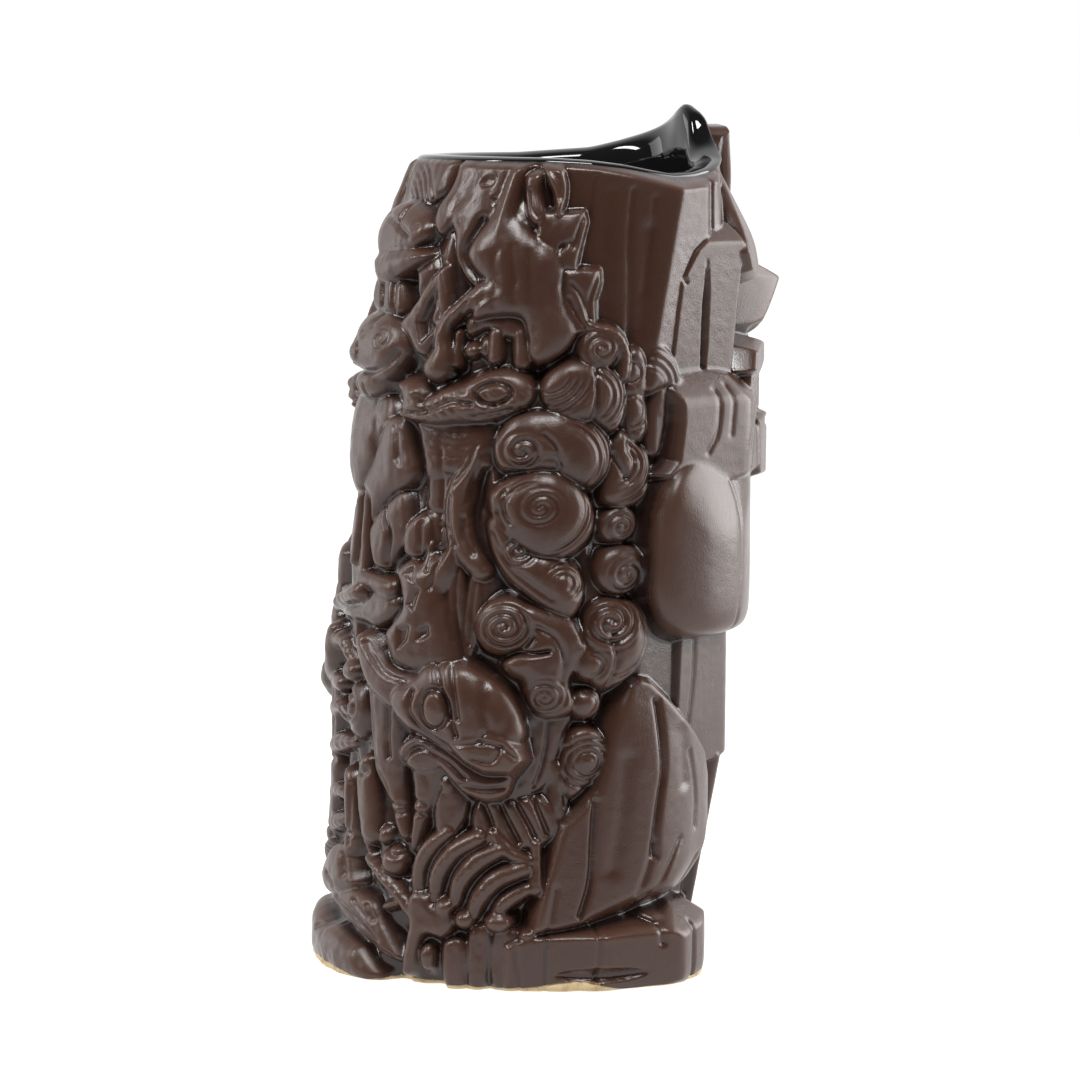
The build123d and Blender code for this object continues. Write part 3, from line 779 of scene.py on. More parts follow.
def tail_plumes(u, z):
    lump = ball(u, z, -36.2, 53.4, 4.4, 6.2, 3.6, base=0.8)
    lump -= curl(u, z, -38, 54, 4.6, 2.0, 0.9, 0.3)
    knob = ball(u, z, -38.6, 61.2, 3.0, 2.4, 2.8, base=1.6)
    arm = limb(u, z, (-36.4, 77.6, 2.4, 3.4), (-42, 76, 1.8, 2.8), (-52, 73, 2.0, 2.6), base=1.4)
    arm = smooth_max(arm, limb(u, z, (-37, 80.4, 1.8, 2.4), (-28, 79, 2.2, 2.4), base=1.2), 0.8)
    sweep = plate([
        (-54, 72), (-44, 71), (-36, 71.5), (-30, 71), (-25, 76), (-31, 80), (-40, 74.6), (-54, 77),
    ], u, z, 1.2, 2.6, 2.4)
    folds = [
        limb(u, z, (-52, 64, 2.4, 3), (-44, 67, 2.0, 3), (-38.6, 63, 1.4, 2), base=1.2),
        limb(u, z, (-52, 51.4, 2.0, 3), (-44, 53.4, 1.8, 3), (-40, 51, 1.2, 2), base=1.2),
        limb(u, z, (-52, 57.6, 2.4, 3), (-45, 57.6, 2.2, 3), base=1.0),
        limb(u, z, (-53, 43.6, 2.4, 3), (-44, 45.6, 2.2, 3), (-37.4, 46.8, 1.2, 2), base=1.0),
    ]
    return join([lump, knob, arm, sweep, *folds], 0.6)


def bone_column(u, z):
    column = plate([
        (-40.6, 41), (-38, 40.6), (-36.4, 37), (-35.4, 31), (-35.8, 24), (-39, 24), (-39.6, 32),
    ], u, z, 1.8, 3.8, 1.8)
    blade = limb(u, z, (-52, 33.4, 1.8, 2.6), (-45, 35.6, 1.8, 2.6), (-39.6, 35, 1.2, 1.8), base=1.0)
    under = limb(u, z, (-54, 27, 2.2, 2.8), (-44, 29.6, 2.0, 2.8), (-39.6, 31, 1.2, 1.8), base=1.0)
    return join([column, blade, under], 0.5) - grooves([
        [(-37.4, 38), (-36.8, 32), (-36.9, 26)], [(-39, 29), (-36, 28)],
    ], u, z, 0.5, 0.6)


def palm_frond(u, z):
    fan = plate([
        (-8, 36), (-6, 38.4), (-2, 38.2), (3, 38.8), (5.6, 37.6), (8, 33.6), (6, 30), (2, 28.6),
        (-4, 28.6), (-7.6, 31),
    ], u, z, 1.8, 2.8, 2)
    return fan - grooves([
        [(-6.2, 38), (-4.6, 34), (-3.6, 30)], [(-3.4, 38.2), (-1.4, 34), (0.6, 30)],
        [(-0.2, 38), (2, 34), (3.6, 30.6)], [(3, 38.4), (4.4, 35), (5.8, 31.6)],
    ], u, z, 0.5, 1.1)


def rib_cage(u, z):
    ribs = [
        [(-18.2, 19, 1.4, 1.8), (-18, 24, 1.8, 2.6), (-15.6, 28.6, 2.0, 2.8), (-12.4, 31.6, 1.6, 2.6)],
        [(-14.8, 18.4, 1.5, 2.0), (-14, 23.4, 2.0, 3.0), (-11, 28, 2.2, 3.2), (-7, 30.6, 2.0, 3.0)],
        [(-10.8, 17.6, 1.5, 2.0), (-9.8, 22, 2.0, 3.0), (-7, 26, 2.3, 3.2), (-3, 28.4, 1.9, 3.0)],
        [(-7.4, 15.4, 1.6, 2.0), (-6, 19.2, 2.0, 2.8), (-3, 22.8, 2.2, 3.0), (1.6, 24.8, 2.0, 2.8)],
        [(-3.2, 15.2, 1.4, 1.8), (-1.4, 18.2, 1.8, 2.4), (2.0, 20.6, 1.7, 2.6)],
        [(3.6, 29.4, 1.3, 2.0), (3.9, 25, 1.2, 2.2), (3.8, 20.8, 1.9, 2.6)],
        [(-4, 31.6, 1.2, 2.0), (-1.2, 28, 1.6, 2.4), (2.4, 26.2, 1.4, 2.2)],
    ]
    return join([limb(u, z, *rib, base=1.4, blend=0.2) for rib in ribs], 0.2)


def stone_heap(u, z):
    stones = [
        plate([(-20, 17), (-18.6, 19.4), (-16, 19), (-14.4, 17), (-11.6, 16.6), (-10.8, 13), (-12.6, 10.6),
               (-15.6, 11), (-17, 9.4), (-18.2, 3), (-20.8, 3), (-19.6, 12)], u, z, 2.6, 4.4, 1.8),
        ball(u, z, -12.6, 16.6, 1.9, 1.9, 2.2, base=2.6), ball(u, z, -8.8, 14.4, 2.0, 1.9, 2.4, base=2.2),
        ball(u, z, -2.6, 14, 2.6, 2.0, 2.4, base=2.2), ball(u, z, -15.6, 6.4, 1.6, 2.8, 2.2, base=2.0),
        plate([(-12.8, 9.4), (-8.6, 10), (-8.6, 1), (-12.4, 1)], u, z, 1.8, 3.4, 1.6),
        plate([(-8, 12), (-4, 12.6), (-4.6, 1), (-8, 1)], u, z, 1.6, 3.2, 1.6),
        plate([(-3.6, 12), (1, 12.6), (1.4, 9), (0, 1), (-3.6, 1)], u, z, 1.4, 3.0, 1.6),
        ball(u, z, 2.8, 11.4, 1.6, 1.2, 1.6, base=2.6),
    ]
    return join(stones, 0.3)


def grass_blades(u, z):
    blades = [
        limb(
            u, z, (-30.4, 24.4, 1.0, 1.8), (-26, 21.6, 1.4, 2.4), (-22, 18.4, 1.5, 2.4),
            (-19.4, 15, 1.4, 2.0), base=2.0,
        ),
        limb(u, z, (-25.6, 15.2, 0.9, 1.6), (-21, 17, 0.9, 1.6), base=1.6),
        ball(u, z, -24, 24.6, 2.9, 3.2, 3.0, base=1.6), ball(u, z, -26.4, 29.4, 1.6, 2.0, 2.0, base=1.6),
        limb(u, z, (-33, 34, 1.0, 1.6), (-32, 29, 1.2, 1.8), (-30, 25, 1.0, 1.6), base=1.2),
    ]
    total = join(blades, 0.4)
    return total - groove([(-25.6, 27.4), (-23, 26), (-21, 26.6)], u, z, 0.5, 0.8)


def fish(u, z):
    body = plate([
        (-36, 17.6), (-32, 17), (-28, 15.6), (-25.6, 12), (-22.6, 8), (-21, 5.2), (-24.6, 5.4),
        (-29, 7.4), (-34, 9.6), (-40, 12), (-46, 14),
    ], u, z, 2.2, 4.6, 3.2)
    body -= grooves([
        [(-42, 13.4), (-35, 11.4), (-28, 8), (-23, 5.8)],
        [(-40, 14.8), (-34, 13.2), (-29.6, 11), (-26, 8.4)], [(-33, 15.4), (-29, 12.6)],
        [(-29.4, 15), (-27.4, 12.4)],
    ], u, z, 0.5, 0.8)
    cloth = plate([
        (-54, 17), (-50, 21), (-44, 24.6), (-38, 25.4), (-35, 20.6), (-34, 18), (-40, 15), (-48, 14),
    ], u, z, 2.6, 5.0, 4)
    cloth -= grooves([[(-45, 18.6), (-41, 17.4)], [(-38, 24), (-36.6, 20)]], u, z, 0.6, 0.8)
    stone = plate([
        (-60, 10), (-52, 11.5), (-44, 9), (-40, 9.4), (-34, 8), (-29, 5.6), (-27, -2), (-60, -4),
    ], u, z, 2.4, 6.4, 4)
    return join([body, cloth, stone], 0.4) - groove([(-47, 7), (-43, 8.6), (-39, 9.6)], u, z, 0.6, 0.7)


# ---- the idol, drawn on its right side; what crosses the middle is folded onto that side
def folded(u):
    """u, with the idol's left half folded onto its right half."""
    return FRONT - np.abs(FRONT - u)


def temple(u, z):
    outline = [(-8, 185), (-8, 134), (6, 127), (16, 124), (20, 118), (26, 112), (76, 112), (76, 185)]
    faces = [
        plane(u, z, 122, 30.3, -0.15, 130), plane(u, z, 108, 32.2, -0.1, 130),
        plane(u, z, 97, 33.5, -0.025, 127), plane(u, z, 60, 39.4, 0.092, 127), plane(u, z, 30, 41.6),
        plane(u, z, 0, 42.4),
    ]
    total = block(outline, u, z, faces, base=0.4, soft=0.45)
    total -= groove([(13.8, 158), (15, 150), (16, 140), (16.5, 129)], u, z, 0.9, 0.4)
    total -= groove([(18.6, 156.5), (19.6, 148), (19.2, 138)], u, z, 0.9, 0.25)
    total -= groove([(5.8, 160.5), (6.2, 154), (6, 149)], u, z, 0.7, 0.3)
    return total - grooves([
        [(10, 157), (10.6, 147), (11.6, 136)], [(18.6, 150), (19, 140), (18.8, 131)],
    ], u, z, 2.0, 0.4)


def ear(u, z):
    outline = [(26.8, 115), (26.8, 140), (30, 146.4), (35, 150.4), (41, 153), (43.5, 150), (43.5, 115)]
    faces = [plane(u, z, 66, 39.5, 0.08, 127), plane(u, z, 66, 41.1, -1.0, 147.4)]
    total = block(outline, u, z, faces, base=3.5, steep=4, soft=0.5)
    total -= hollow([
        (33.0, 145), (33.3, 135), (34.2, 126), (34.9, 119.8), (35.8, 119.8), (35.4, 128), (34.4, 138),
    ], u, z, 3.0, 5)
    return total - groove([(27.2, 140.6), (28, 139.8)], u, z, 0.4, 0.7)


def forehead(u, z):
    u = folded(u)
    outline = [(33.6, 190), (34.2, 158), (36.4, 149), (44, 147), (90, 147), (90, 190)]
    faces = [
        plane(u, z, 52, 42.2, 0.02, 150), plane(u, z, 26, 43.4, -0.07, 150),
        plane(u, z, 0, 43.6, -0.08, 150),
    ]
    total = block(outline, u, z, faces, base=3.6, steep=2.4, soft=0.8)
    return total - grooves([
        [(40.5, 163), (41.5, 150)], [(47, 165), (47.6, 152)], [(54, 166), (53, 155)],
    ], u, z, 0.7, 0.4)


def brow(u, z):
    u = folded(u)
    outline = [(41, 145.5), (46, 153), (53, 160), (90, 160), (90, 142), (60, 141.5), (50, 139), (43, 141)]
    faces = [
        plane(u, z, 30, 49.4, -0.15, 145), plane(u, z, 0, 49.6, -0.15, 145),
        plane(u, z, 30, 48.2, -0.5, 149), plane(u, z, 0, 48.4, -0.5, 149),
    ]
    return block(outline, u, z, faces, base=8, steep=3, soft=1.2)


def eyes(u, z):
    u = folded(u)
    outline = [(43.5, 133), (46, 137.4), (51, 139), (56, 136.6), (58.6, 131.6), (54, 128.6), (47, 129)]
    total = block(outline, u, z, [plane(u, z, 26, 46)], base=6.2, steep=3, soft=2)
    return total - ripples(u, z, 51, 133.6, 2.4, 5.4, 2.2, 0.8)


def nose(u, z):
    u = folded(u)
    outline = [(62.6, 144), (60.6, 140), (60.2, 130), (61, 126.6), (90, 126.6), (90, 144)]
    faces = [
        plane(u, z, 0, NOSE_TIP, -1.7, 140), plane(u, z, 0, NOSE_TIP, 0.6, 138),
        plane(u, z, 30, 54.8, 0.6, 138),
    ]
    total = block(outline, u, z, faces, base=9, steep=2.2, soft=1.2)
    return total - ball(u, z, 62.4, 128.6, 1.2, 1.4, 2.0).clip(0)


def upper_lip(u, z):
    u = folded(u)
    outline = [(44.5, 121), (47, 125.6), (56, 127.4), (90, 126.6), (90, 121), (60, 120.6), (50, 119.4)]
    faces = [plane(u, z, 0, 54.4), plane(u, z, 30, 50.6)]
    return block(outline, u, z, faces, base=9, steep=4, soft=1.5)


def teeth(u, z):
    u = folded(u)
    outline = [(45.5, 111.5), (45.5, 121.5), (90, 121.5), (90, 111.5)]
    total = block(outline, u, z, [plane(u, z, 0, 53.4), plane(u, z, 30, 49.6)], base=9, steep=4, soft=1)
    cuts = [[(start, 122), (start, 111)] for start in (49.2, 53.0, 56.6, 60.0, 63.3, FRONT)]
    return total - grooves(cuts, u, z, 0.5, 1.6)


def chin(u, z):
    u = folded(u)
    outline = [(52, 99.4), (51, 111), (57, 112.6), (90, 112.6), (90, 98), (60, 98)]
    faces = [plane(u, z, 0, 53.6, 0.05, 104), plane(u, z, 33, 50.4)]
    return block(
        outline, u, z, faces, base=10, steep=4, soft=1.2,
    ) - groove([(58, 110), (FRONT + 9, 109)], u, z, 0.7, 0.9)


def jaw(u, z):
    outline = [
        (21.5, 102), (24.4, 105), (25, 112), (24.8, 116), (24.4, 118.8), (27, 122.4), (50, 122.4),
        (52, 112), (58, 112), (58, 98), (40, 98), (26, 98),
    ]
    shelf = [plane(u, z, 69, 43.2, -0.8, 116.2), plane(u, z, 36, 50.4, -1.0, 116.2)]
    faces = [plane(u, z, 69, 43.2), plane(u, z, 36.9, 50.4), plane(u, z, 98, 38.2)]
    total = block(outline, u, z, [*faces, *shelf], base=3.0, steep=3, soft=1.0)
    past_fold = u - 38.6 - 0.44 * (z - 104)
    total -= 0.15 * np.clip(past_fold, 0, 9)
    total -= groove([(34.4, 118), (34, 110), (32, 105.8)], u, z, 0.5, 0.4)
    lines = [
        [(44.6, 115), (41.4, 107)], [(47.6, 117), (43.4, 105)], [(49.6, 113), (46.6, 102)],
        [(37.5, 119), (37, 109)],
    ]
    return total - grooves(lines, u, z, 0.4, 0.35)


def upper_arm(u, z):
    arm = swell(u, z, 39.8, 87.2, 19.0, 18.8, 13, base=2.8, power=3.4)
    faces = [
        plane(u, z, 92, 42.2), plane(u, z, 70, 47.4), plane(u, z, 44, 50.4), plane(u, z, 24, 49.2),
        plane(u, z, 56, 48.4, -0.5, 97),
    ]
    for face in faces:
        arm = smooth_min(arm, face, 4)
    return arm - grooves([[(36.4, 103.5), (37.9, 94), (38.4, 82), (37.9, 70.5)]], u, z, 0.45, 0.35)


def belly(u, z):
    u = folded(u)
    outline = [(50, 99), (48, 60), (52, 44), (90, 42), (90, 99)]
    dome = plane(u, z, 0, 44.6) - 0.003 * (z - 72) ** 2
    total = block(outline, u, z, [dome, plane(u, z, 30, 42.8)], base=3, steep=3, soft=3)
    return total - ripples(u, z, FRONT, 74, 2.0, 6.4, 2.2, 0.9)


def hand(u, z):
    palm = plate([
        (52, 92), (57, 93.5), (61, 90), (64.6, 85), (64.6, 76), (60, 72), (53, 74), (50, 82),
    ], u, z, 5.4, 7.8, 6)
    fingers = [[(57, 92), (58, 84)], [(60, 91), (60.6, 82), (58.6, 77)], [(62.6, 88), (62.8, 80), (61, 75)]]
    return palm - grooves(fingers, u, z, 0.6, 1.2)


def flank(u, z):
    outline = [(31, 72), (31, 40), (72, 40), (72, 72)]
    faces = [plane(u, z, 55, 40.4, 0.03, 63), plane(u, z, 18, 43.8)]
    total = block(outline, u, z, faces, base=0.4, steep=3, soft=1.0)
    return total - grooves([[(36.5, 70), (37, 60), (36, 50)]], u, z, 0.6, 0.5)


def side_wall(u, z):
    """The plain wall of the torso behind the arm and over the haunch."""
    outline = [(19.5, 110), (21, 60), (16, 50), (34, 50), (34, 110)]
    return block(
        outline, u, z, [plane(u, z, 84, 37.4), plane(u, z, 66, 38.2)], base=0.8, steep=1.2, soft=1.0,
    )


def haunch(u, z):
    outline = [
        (22, 61.8), (19.6, 60.8), (17.4, 57), (15.6, 52), (14.6, 46), (13.4, 40.5), (11, 37), (8, 33.6),
        (7, 30), (5, 22), (3.2, 15), (2.6, 11), (7, 11.6), (13, 12.4), (20, 13.8), (27, 15.4), (33, 16.6),
        (38, 18), (42, 22), (45, 30), (45, 40), (42, 46), (37, 50.6), (31, 55.8), (29, 57.6), (24.6, 61),
    ]
    faces = [
        plane(u, z, 101, 38.6, -0.05, 30), plane(u, z, 86, 41.0, -0.03, 30),
        plane(u, z, 66, 43.0, -0.02, 30), plane(u, z, 46, 42.4, 0.0, 30), plane(u, z, 28, 41.6),
        plane(u, z, 78, 42.2, -0.2, 46), plane(u, z, 70, 41.2, 1.0, 18), plane(u, z, 40, 38.8, 0.5, 18),
    ]
    total = block(outline, u, z, faces, base=2.2, steep=1.9, soft=1.3)
    total -= grooves([
        [(25, 57), (25.6, 50), (26, 43), (25.4, 38), (24.6, 31), (24.6, 26)],
        [(13.8, 38), (13.5, 30), (13.2, 22), (11.6, 15)],
    ], u, z, 0.55, 1.1)
    total -= grooves([
        [(24.2, 29), (23.2, 24), (21.6, 19)], [(30, 29), (25.6, 20.6), (21.6, 15.6)],
        [(37.4, 24), (33, 18.6)], [(7.2, 21), (6.2, 12.4)], [(33, 46), (35.6, 37), (35.4, 30)],
    ], u, z, 0.6, 0.5)
    return total - grooves([[(19, 46), (18.6, 36), (17, 24)], [(30.6, 50), (31.4, 40)]], u, z, 1.5, 0.4)


def shin(u, z):
    outline = [(45, 44), (60, 44), (61, 8), (46, 8)]
    faces = [plane(u, z, 20, 40.6, 0.2, 30), plane(u, z, 44, 41.2, 0.15, 30)]
    return block(
        outline, u, z, faces, base=4, steep=3, soft=2,
    ) - groove([(52, 42), (53, 14)], u, z, 0.8, 0.8)


def feet(u, z):
    u = folded(u)
    toes = [ball(u, z, cu, 4.6, 3.0, 5.2, 2.4, base=1.8) for cu in (46.4, 51.4, 56.2)]
    instep = block([
        (42, -3), (42, 14), (61, 15), (61, -3),
    ], u, z, [plane(u, z, 24, 37.6, -0.3, 8)], base=2, steep=3)
    return join([instep, *toes], 0.5)


def plinth(u, z):
    outline = [
        (-1.5, -3), (-1.5, 9.6), (2, 11.2), (8, 12.2), (13, 13), (20, 14.4), (24, 14.8), (30, 17),
        (36, 16.4), (44, 12), (48, 10), (48, -3),
    ]
    faces = [
        plane(u, z, 90, 43.0), plane(u, z, 112, 38.8), plane(u, z, 48, 45.4), plane(u, z, 22, 39.2),
        plane(u, z, 90, 44.0, -1.15, 10.6), plane(u, z, 55, 45.6, -1.15, 11.4),
    ]
    total = block(outline, u, z, faces, base=2.4, steep=2.6, soft=0.8)
    corner_outline = [(24.6, 8), (24.6, 13.4), (30, 13.2), (31, 8)]
    corner = block(corner_outline, u, z, [plane(u, z, 78, 43.6, -0.5, 11)], base=8.4, steep=2, soft=0.8)
    total = smooth_max(total, corner, 0.6)
    total -= grooves([[(14.4, 13), (14.3, 6), (14.4, 2.2)], [(6, 11.8), (5.8, 6), (6, 0)]], u, z, 0.35, 0.8)
    total -= grooves([
        [(24.4, 12.4), (24.6, 9)], [(0.6, 9), (1.6, 0)], [(31, 12), (31.2, 0)],
    ], u, z, 0.45, 0.7)
    mark_u, mark_z = 15, 3.6
    dimple = np.clip(1 - ((u - mark_u) / 7.6) ** 2 - ((z - mark_z) / 1.5) ** 2, 0, None)
    return total - 1.3 * np.sqrt(dimple) * (1 - 0.25 * (z - mark_z))


def plinth_front(u, z):
    u = folded(u)
    outline = [(56, -3), (56, 9), (90, 9), (90, -3)]
    return block(outline, u, z, [plane(u, z, 0, 37)], base=1, steep=2)


def topknot(u, z):
    u = folded(u)
    outline = [(60, 190), (59.6, 160), (60.8, 154), (90, 153), (90, 190)]
    faces = [plane(u, z, 0, TOPKNOT_FRONT - 2.3, -0.03, 165)]
    return block(outline, u, z, faces, base=8, steep=5, soft=1.2)


# ---- laying it all on: each form and its box, which is (left, right, low, high)
BOTH_SIDES = [
    (temple, (-14, FRONT, 118, 185)), (side_wall, (12, 40, 46, 112)), (flank, (26, FRONT, 36, 76)),
    (ear, (22, 46, 118, 154)), (jaw, (16, FRONT, 94, 126)), (upper_arm, (18, 60, 64, 110)),
    (haunch, (-4, 50, 6, 66)), (shin, (40, FRONT, 4, 48)), (plinth, (-8, 54, -3, 21)),
]
MIDDLE = [
    (forehead, (28, 105, 143, 185)), (brow, (36, 97, 134, 156)), (eyes, (38, 95, 124, 144)),
    (nose, (54, 79, 121, 151)), (upper_lip, (38, 95, 115, 131)), (teeth, (40, 93, 108, 125)),
    (chin, (44, 89, 94, 116)), (belly, (44, 89, 38, 103)), (feet, (38, 95, -3, 19)),
    (plinth_front, (50, 83, -3, 13)), (topknot, (52, 81, 148, 185)),
]
HAND_BOX = (46, FRONT, 66, 97)
CREATURES = [
    (tail_plumes, (-58, -20, 40, 86)), (owl, (-60, -19, 136, 174)), (bat_body, (-56, -26, 74, 122)),
    (bat_head, (-57, -22, 114, 138)), (bat_ears, (-48, -16, 122, 148)), (bat_wings, (-44, -14, 78, 118)),
    (bone_column, (-58, -30, 20, 46)), (fish, (-64, -16, -3, 31)), (lizard_neck, (-30, -4, 83, 118)),
    (spotted_hide, (-31, -7, 59, 95)), (side_leaves, (-18, -4, 62, 90)),
    (smoke_strand, (-20, -4, 78, 114)), (scroll_tail, (-6, 12, 34, 62)), (palm_frond, (-12, 12, 24, 43)),
    (smoke_puffs, (-3, 31, 96, 136)), (smoke_big, (8, 26, 91, 115)), (smoke_beads, (7, 26, 74, 101)),
    (smoke_rose, (5, 28, 55, 82)), (smoke_last, (2, 21, 30, 65)), (leaf_crest, (-8, 15, 127, 158)),
    (scroll_lower, (-13, 14, 70, 99)), (scroll_upper, (-13, 17, 96, 120)),
    (scroll_middle, (-13, 15, 82, 108)), (scroll_base, (-14, 16, 51, 82)),
    (belly_folds, (-20, 0, 120, 137)), (rearing_beast, (-29, 11, 118, 175)),
    (beast_jaws, (-13, 5, 147, 169)), (lizard_head, (-34, 3, 107, 128)),
    (bull_forelegs, (-36, -10, 25, 66)), (seed_pod, (-39, -5, 25, 49)), (bull_horns, (-39, -9, 39, 74)),
    (bull_head, (-28, 5, 34, 70)), (grass_blades, (-38, -14, 10, 38)), (stone_heap, (-25, 8, -1, 24)),
    (rib_cage, (-24, 9, 11, 37)),
]
# These reach round the back, so they have no mirror image
BACK_ONLY = (owl, bat_body, bat_head, bat_ears, bat_wings, tail_plumes, bone_column, fish)
# How far a form's edge blends into what lies under it, where that isn't the usual
IDOL_BLEND, CREATURE_BLEND = 0.4, 0.8
OTHER_BLENDS = {
    "ear": 0.3, "teeth": 0.3, "belly": 0.6, "bat_body": 0.9, "bat_head": 0.9, "smoke_strand": 0.9,
    "rib_cage": 0.7,
}


def sculpt():
    clay = Clay()
    for form, box in BOTH_SIDES:
        name = form.__name__
        clay.lay_on_both(name + "_right", name + "_left", form, box, OTHER_BLENDS.get(name, IDOL_BLEND))
    for form, box in MIDDLE:
        clay.lay(form.__name__, form, box, 1, OTHER_BLENDS.get(form.__name__, IDOL_BLEND))
    clay.lay_on_both("hand_right", "hand_left", hand, HAND_BOX, IDOL_BLEND)
    for form, box in CREATURES:
        name = form.__name__
        blend = OTHER_BLENDS.get(name, CREATURE_BLEND)
        if form in BACK_ONLY:
            clay.lay(name, form, box, 1, blend)
        else:
            clay.lay_on_both(name, name + "_left", form, box, blend)
    return clay


# ---- the clay's edges and skin
RIM_BEVEL, BEVEL_SLOPE = 1.5, 2.4    # height left at the rim, and what each mm below it adds
FOOT_TUCK, FOOT_FADE = 1.6, 1.3      # how far the foot is tucked in, and over what height
VALLEY = 1.25                        # how deep a narrow valley between two forms may be


def finish_clay(clay):
    """Bevels the rim, tucks in the foot, fills the narrow valleys between the creatures, and gives
    the surface its fine unevenness."""
    topknot_here = clay.owner == clay.names.index("topknot")
    bevel = RIM_BEVEL + BEVEL_SLOPE * np.clip(rim_line - z_grid, 0, 40)
    height = np.where(topknot_here, clay.height, smooth_min(clay.height, bevel, 1.6))
    height = height - FOOT_TUCK * np.exp(-np.clip(z_grid, 0, 50) / FOOT_FADE)
    height = blur(height, 0.22, 0.22)
    first_creature = clay.names.index(CREATURES[0][0].__name__)
    carved = blur((clay.owner >= first_creature).astype(float), 1.0, 1.0)
    height = smooth_max(height, blur(height, 1.6, 1.6) - VALLEY - 6 * (1 - carved), 0.9)
    height += 0.012 * noise(1.5, 3) + 0.008 * noise(0.5, 0.5)
    height += carved * (0.06 * noise(1.1, 2.2) + 0.035 * noise(0.45, 0.8))
    clay.height = np.maximum(height, DEEP + 0.5)


def bulge(angle, z, rim):
    """How far the wall stands out of the cup's surface under the idol's brow, so that the drinking
    side of the front stays upright while the cup leans."""
    top = rim - 1.5
    stands_out = (shift(top) - shift(z)) * np.cos(angle) + radius(top) - radius(z)
    fade = np.clip((z - 128) / 14, 0, 1)
    return np.clip(stands_out, 0, 3.2) * fade * fade * (3 - 2 * fade)


def positions(height):
    """Where samples at this height over the cup are, in mm."""
    reach = radius(z_grid) + height
    x = -np.sin(theta_grid) * reach
    y = -shift(z_grid) - np.cos(theta_grid) * reach
    return np.stack([x, y, z_grid], axis=-1)


def surface_normals(points):
    up = np.gradient(points, axis=0)
    across = np.roll(points, -1, axis=1) - np.roll(points, 1, axis=1)
    normal = np.cross(up, across)
    return normal / np.maximum(np.linalg.norm(normal, axis=-1, keepdims=True), 1e-9)


# ---- pieces
SMALLEST_PIECE = 1.5    # mm2; a smaller patch goes to its neighbour
CORNER_PASSES = 12


def without_corners(owner):
    """owner with no two squares of a piece touching by only a corner."""
    for _ in range(CORNER_PASSES):
        a, b = owner[:-1], np.roll(owner, -1, axis=1)[:-1]
        c, d = owner[1:], np.roll(owner, -1, axis=1)[1:]
        crossed = (a == d) & (a != b) & (a != c)
        rows, cols = np.nonzero(crossed)
        owner[rows, (cols + 1) % columns] = owner[rows, cols]
        b = np.roll(owner, -1, axis=1)[:-1]
        crossed = (b == c) & (b != a) & (b != d)
        rows, cols = np.nonzero(crossed)
        if not len(rows):
            break
        owner[rows, cols] = owner[rows + 1, cols]
    return owner


def islands(owner):
    """A number for each joined-up area of one piece."""
    label = np.arange(owner.size).reshape(owner.shape)
    same_across = owner == np.roll(owner, -1, axis=1)
    same_up = owner[:-1] == owner[1:]
    pairs = np.concatenate([
        np.stack([label[same_across], np.roll(label, -1, axis=1)[same_across]]),
        np.stack([label[:-1][same_up], label[1:][same_up]]),
    ], axis=1)
    root = np.arange(owner.size)
    while True:
        low = np.minimum(root[pairs[0]], root[pairs[1]])
        before = root.copy()
        np.minimum.at(root, root[pairs[0]], low)
        np.minimum.at(root, root[pairs[1]], low)
        root = root[root]
        if np.array_equal(root, before):
            return root.reshape(owner.shape)


def without_specks(owner, smallest):
    """owner with each area smaller than smallest mm2 given to a neighbour."""
    owner = without_corners(owner.copy())
    label = islands(owner)
    count = np.bincount(label.ravel(), minlength=owner.size)
    small = count[label] * STEP * STEP < smallest
    while small.any():
        before = small.sum()
        for turn, axis in ((1, 1), (-1, 1), (1, 0), (-1, 0)):
            near, near_small = np.roll(owner, turn, axis), np.roll(small, turn, axis)
            if axis == 0:
                near_small[0 if turn == 1 else -1] = True
            take = small & ~near_small
            owner[take] = near[take]
            small &= ~take
        if small.sum() == before:
            break
    return without_corners(owner)


def split_ground(owner, names):
    """Cuts what is left of the cup's own surface into bands, one piece each."""
    middle_z = (z_grid[:-1] + z_grid[1:]) / 2
    band = np.digitize(middle_z, (30, 62, 94, 126))
    ground = owner == 0
    for number, name in enumerate(("low", "lower", "middle", "upper", "high")):
        for side, facing in (("right", theta_grid[:-1] >= 0), ("left", theta_grid[:-1] < 0)):
            names.append(f"background_{name}_{side}")
            owner[ground & (band == number) & facing] = len(names) - 1
    return owner


def make_mesh(name, points, faces):
    """A mesh from arrays of points and of faces with the same number of corners."""
    mesh = bpy.data.meshes.new(name)
    corners = faces.shape[1]
    mesh.vertices.add(len(points))
    mesh.vertices.foreach_set("co", (points * MM).astype(np.float32).ravel())
    mesh.loops.add(faces.size)
    mesh.loops.foreach_set("vertex_index", faces.astype(np.int32).ravel())
    mesh.polygons.add(len(faces))
    mesh.polygons.foreach_set("loop_start", np.arange(0, faces.size, corners, dtype=np.int32))
    mesh.polygons.foreach_set("use_smooth", np.ones(len(faces), bool))
    mesh.update(calc_edges=True)
    mesh.validate()
    return mesh


def add_object(name, mesh, material, nodes):
    """Puts a piece on the mug's body, in place of the CAD nodes named."""
    thing = bpy.data.objects.new(name, mesh)
    bpy.context.scene.collection.objects.link(thing)
    mesh.materials.append(material)
    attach(thing, "root")
    for node in nodes:
        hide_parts(node)


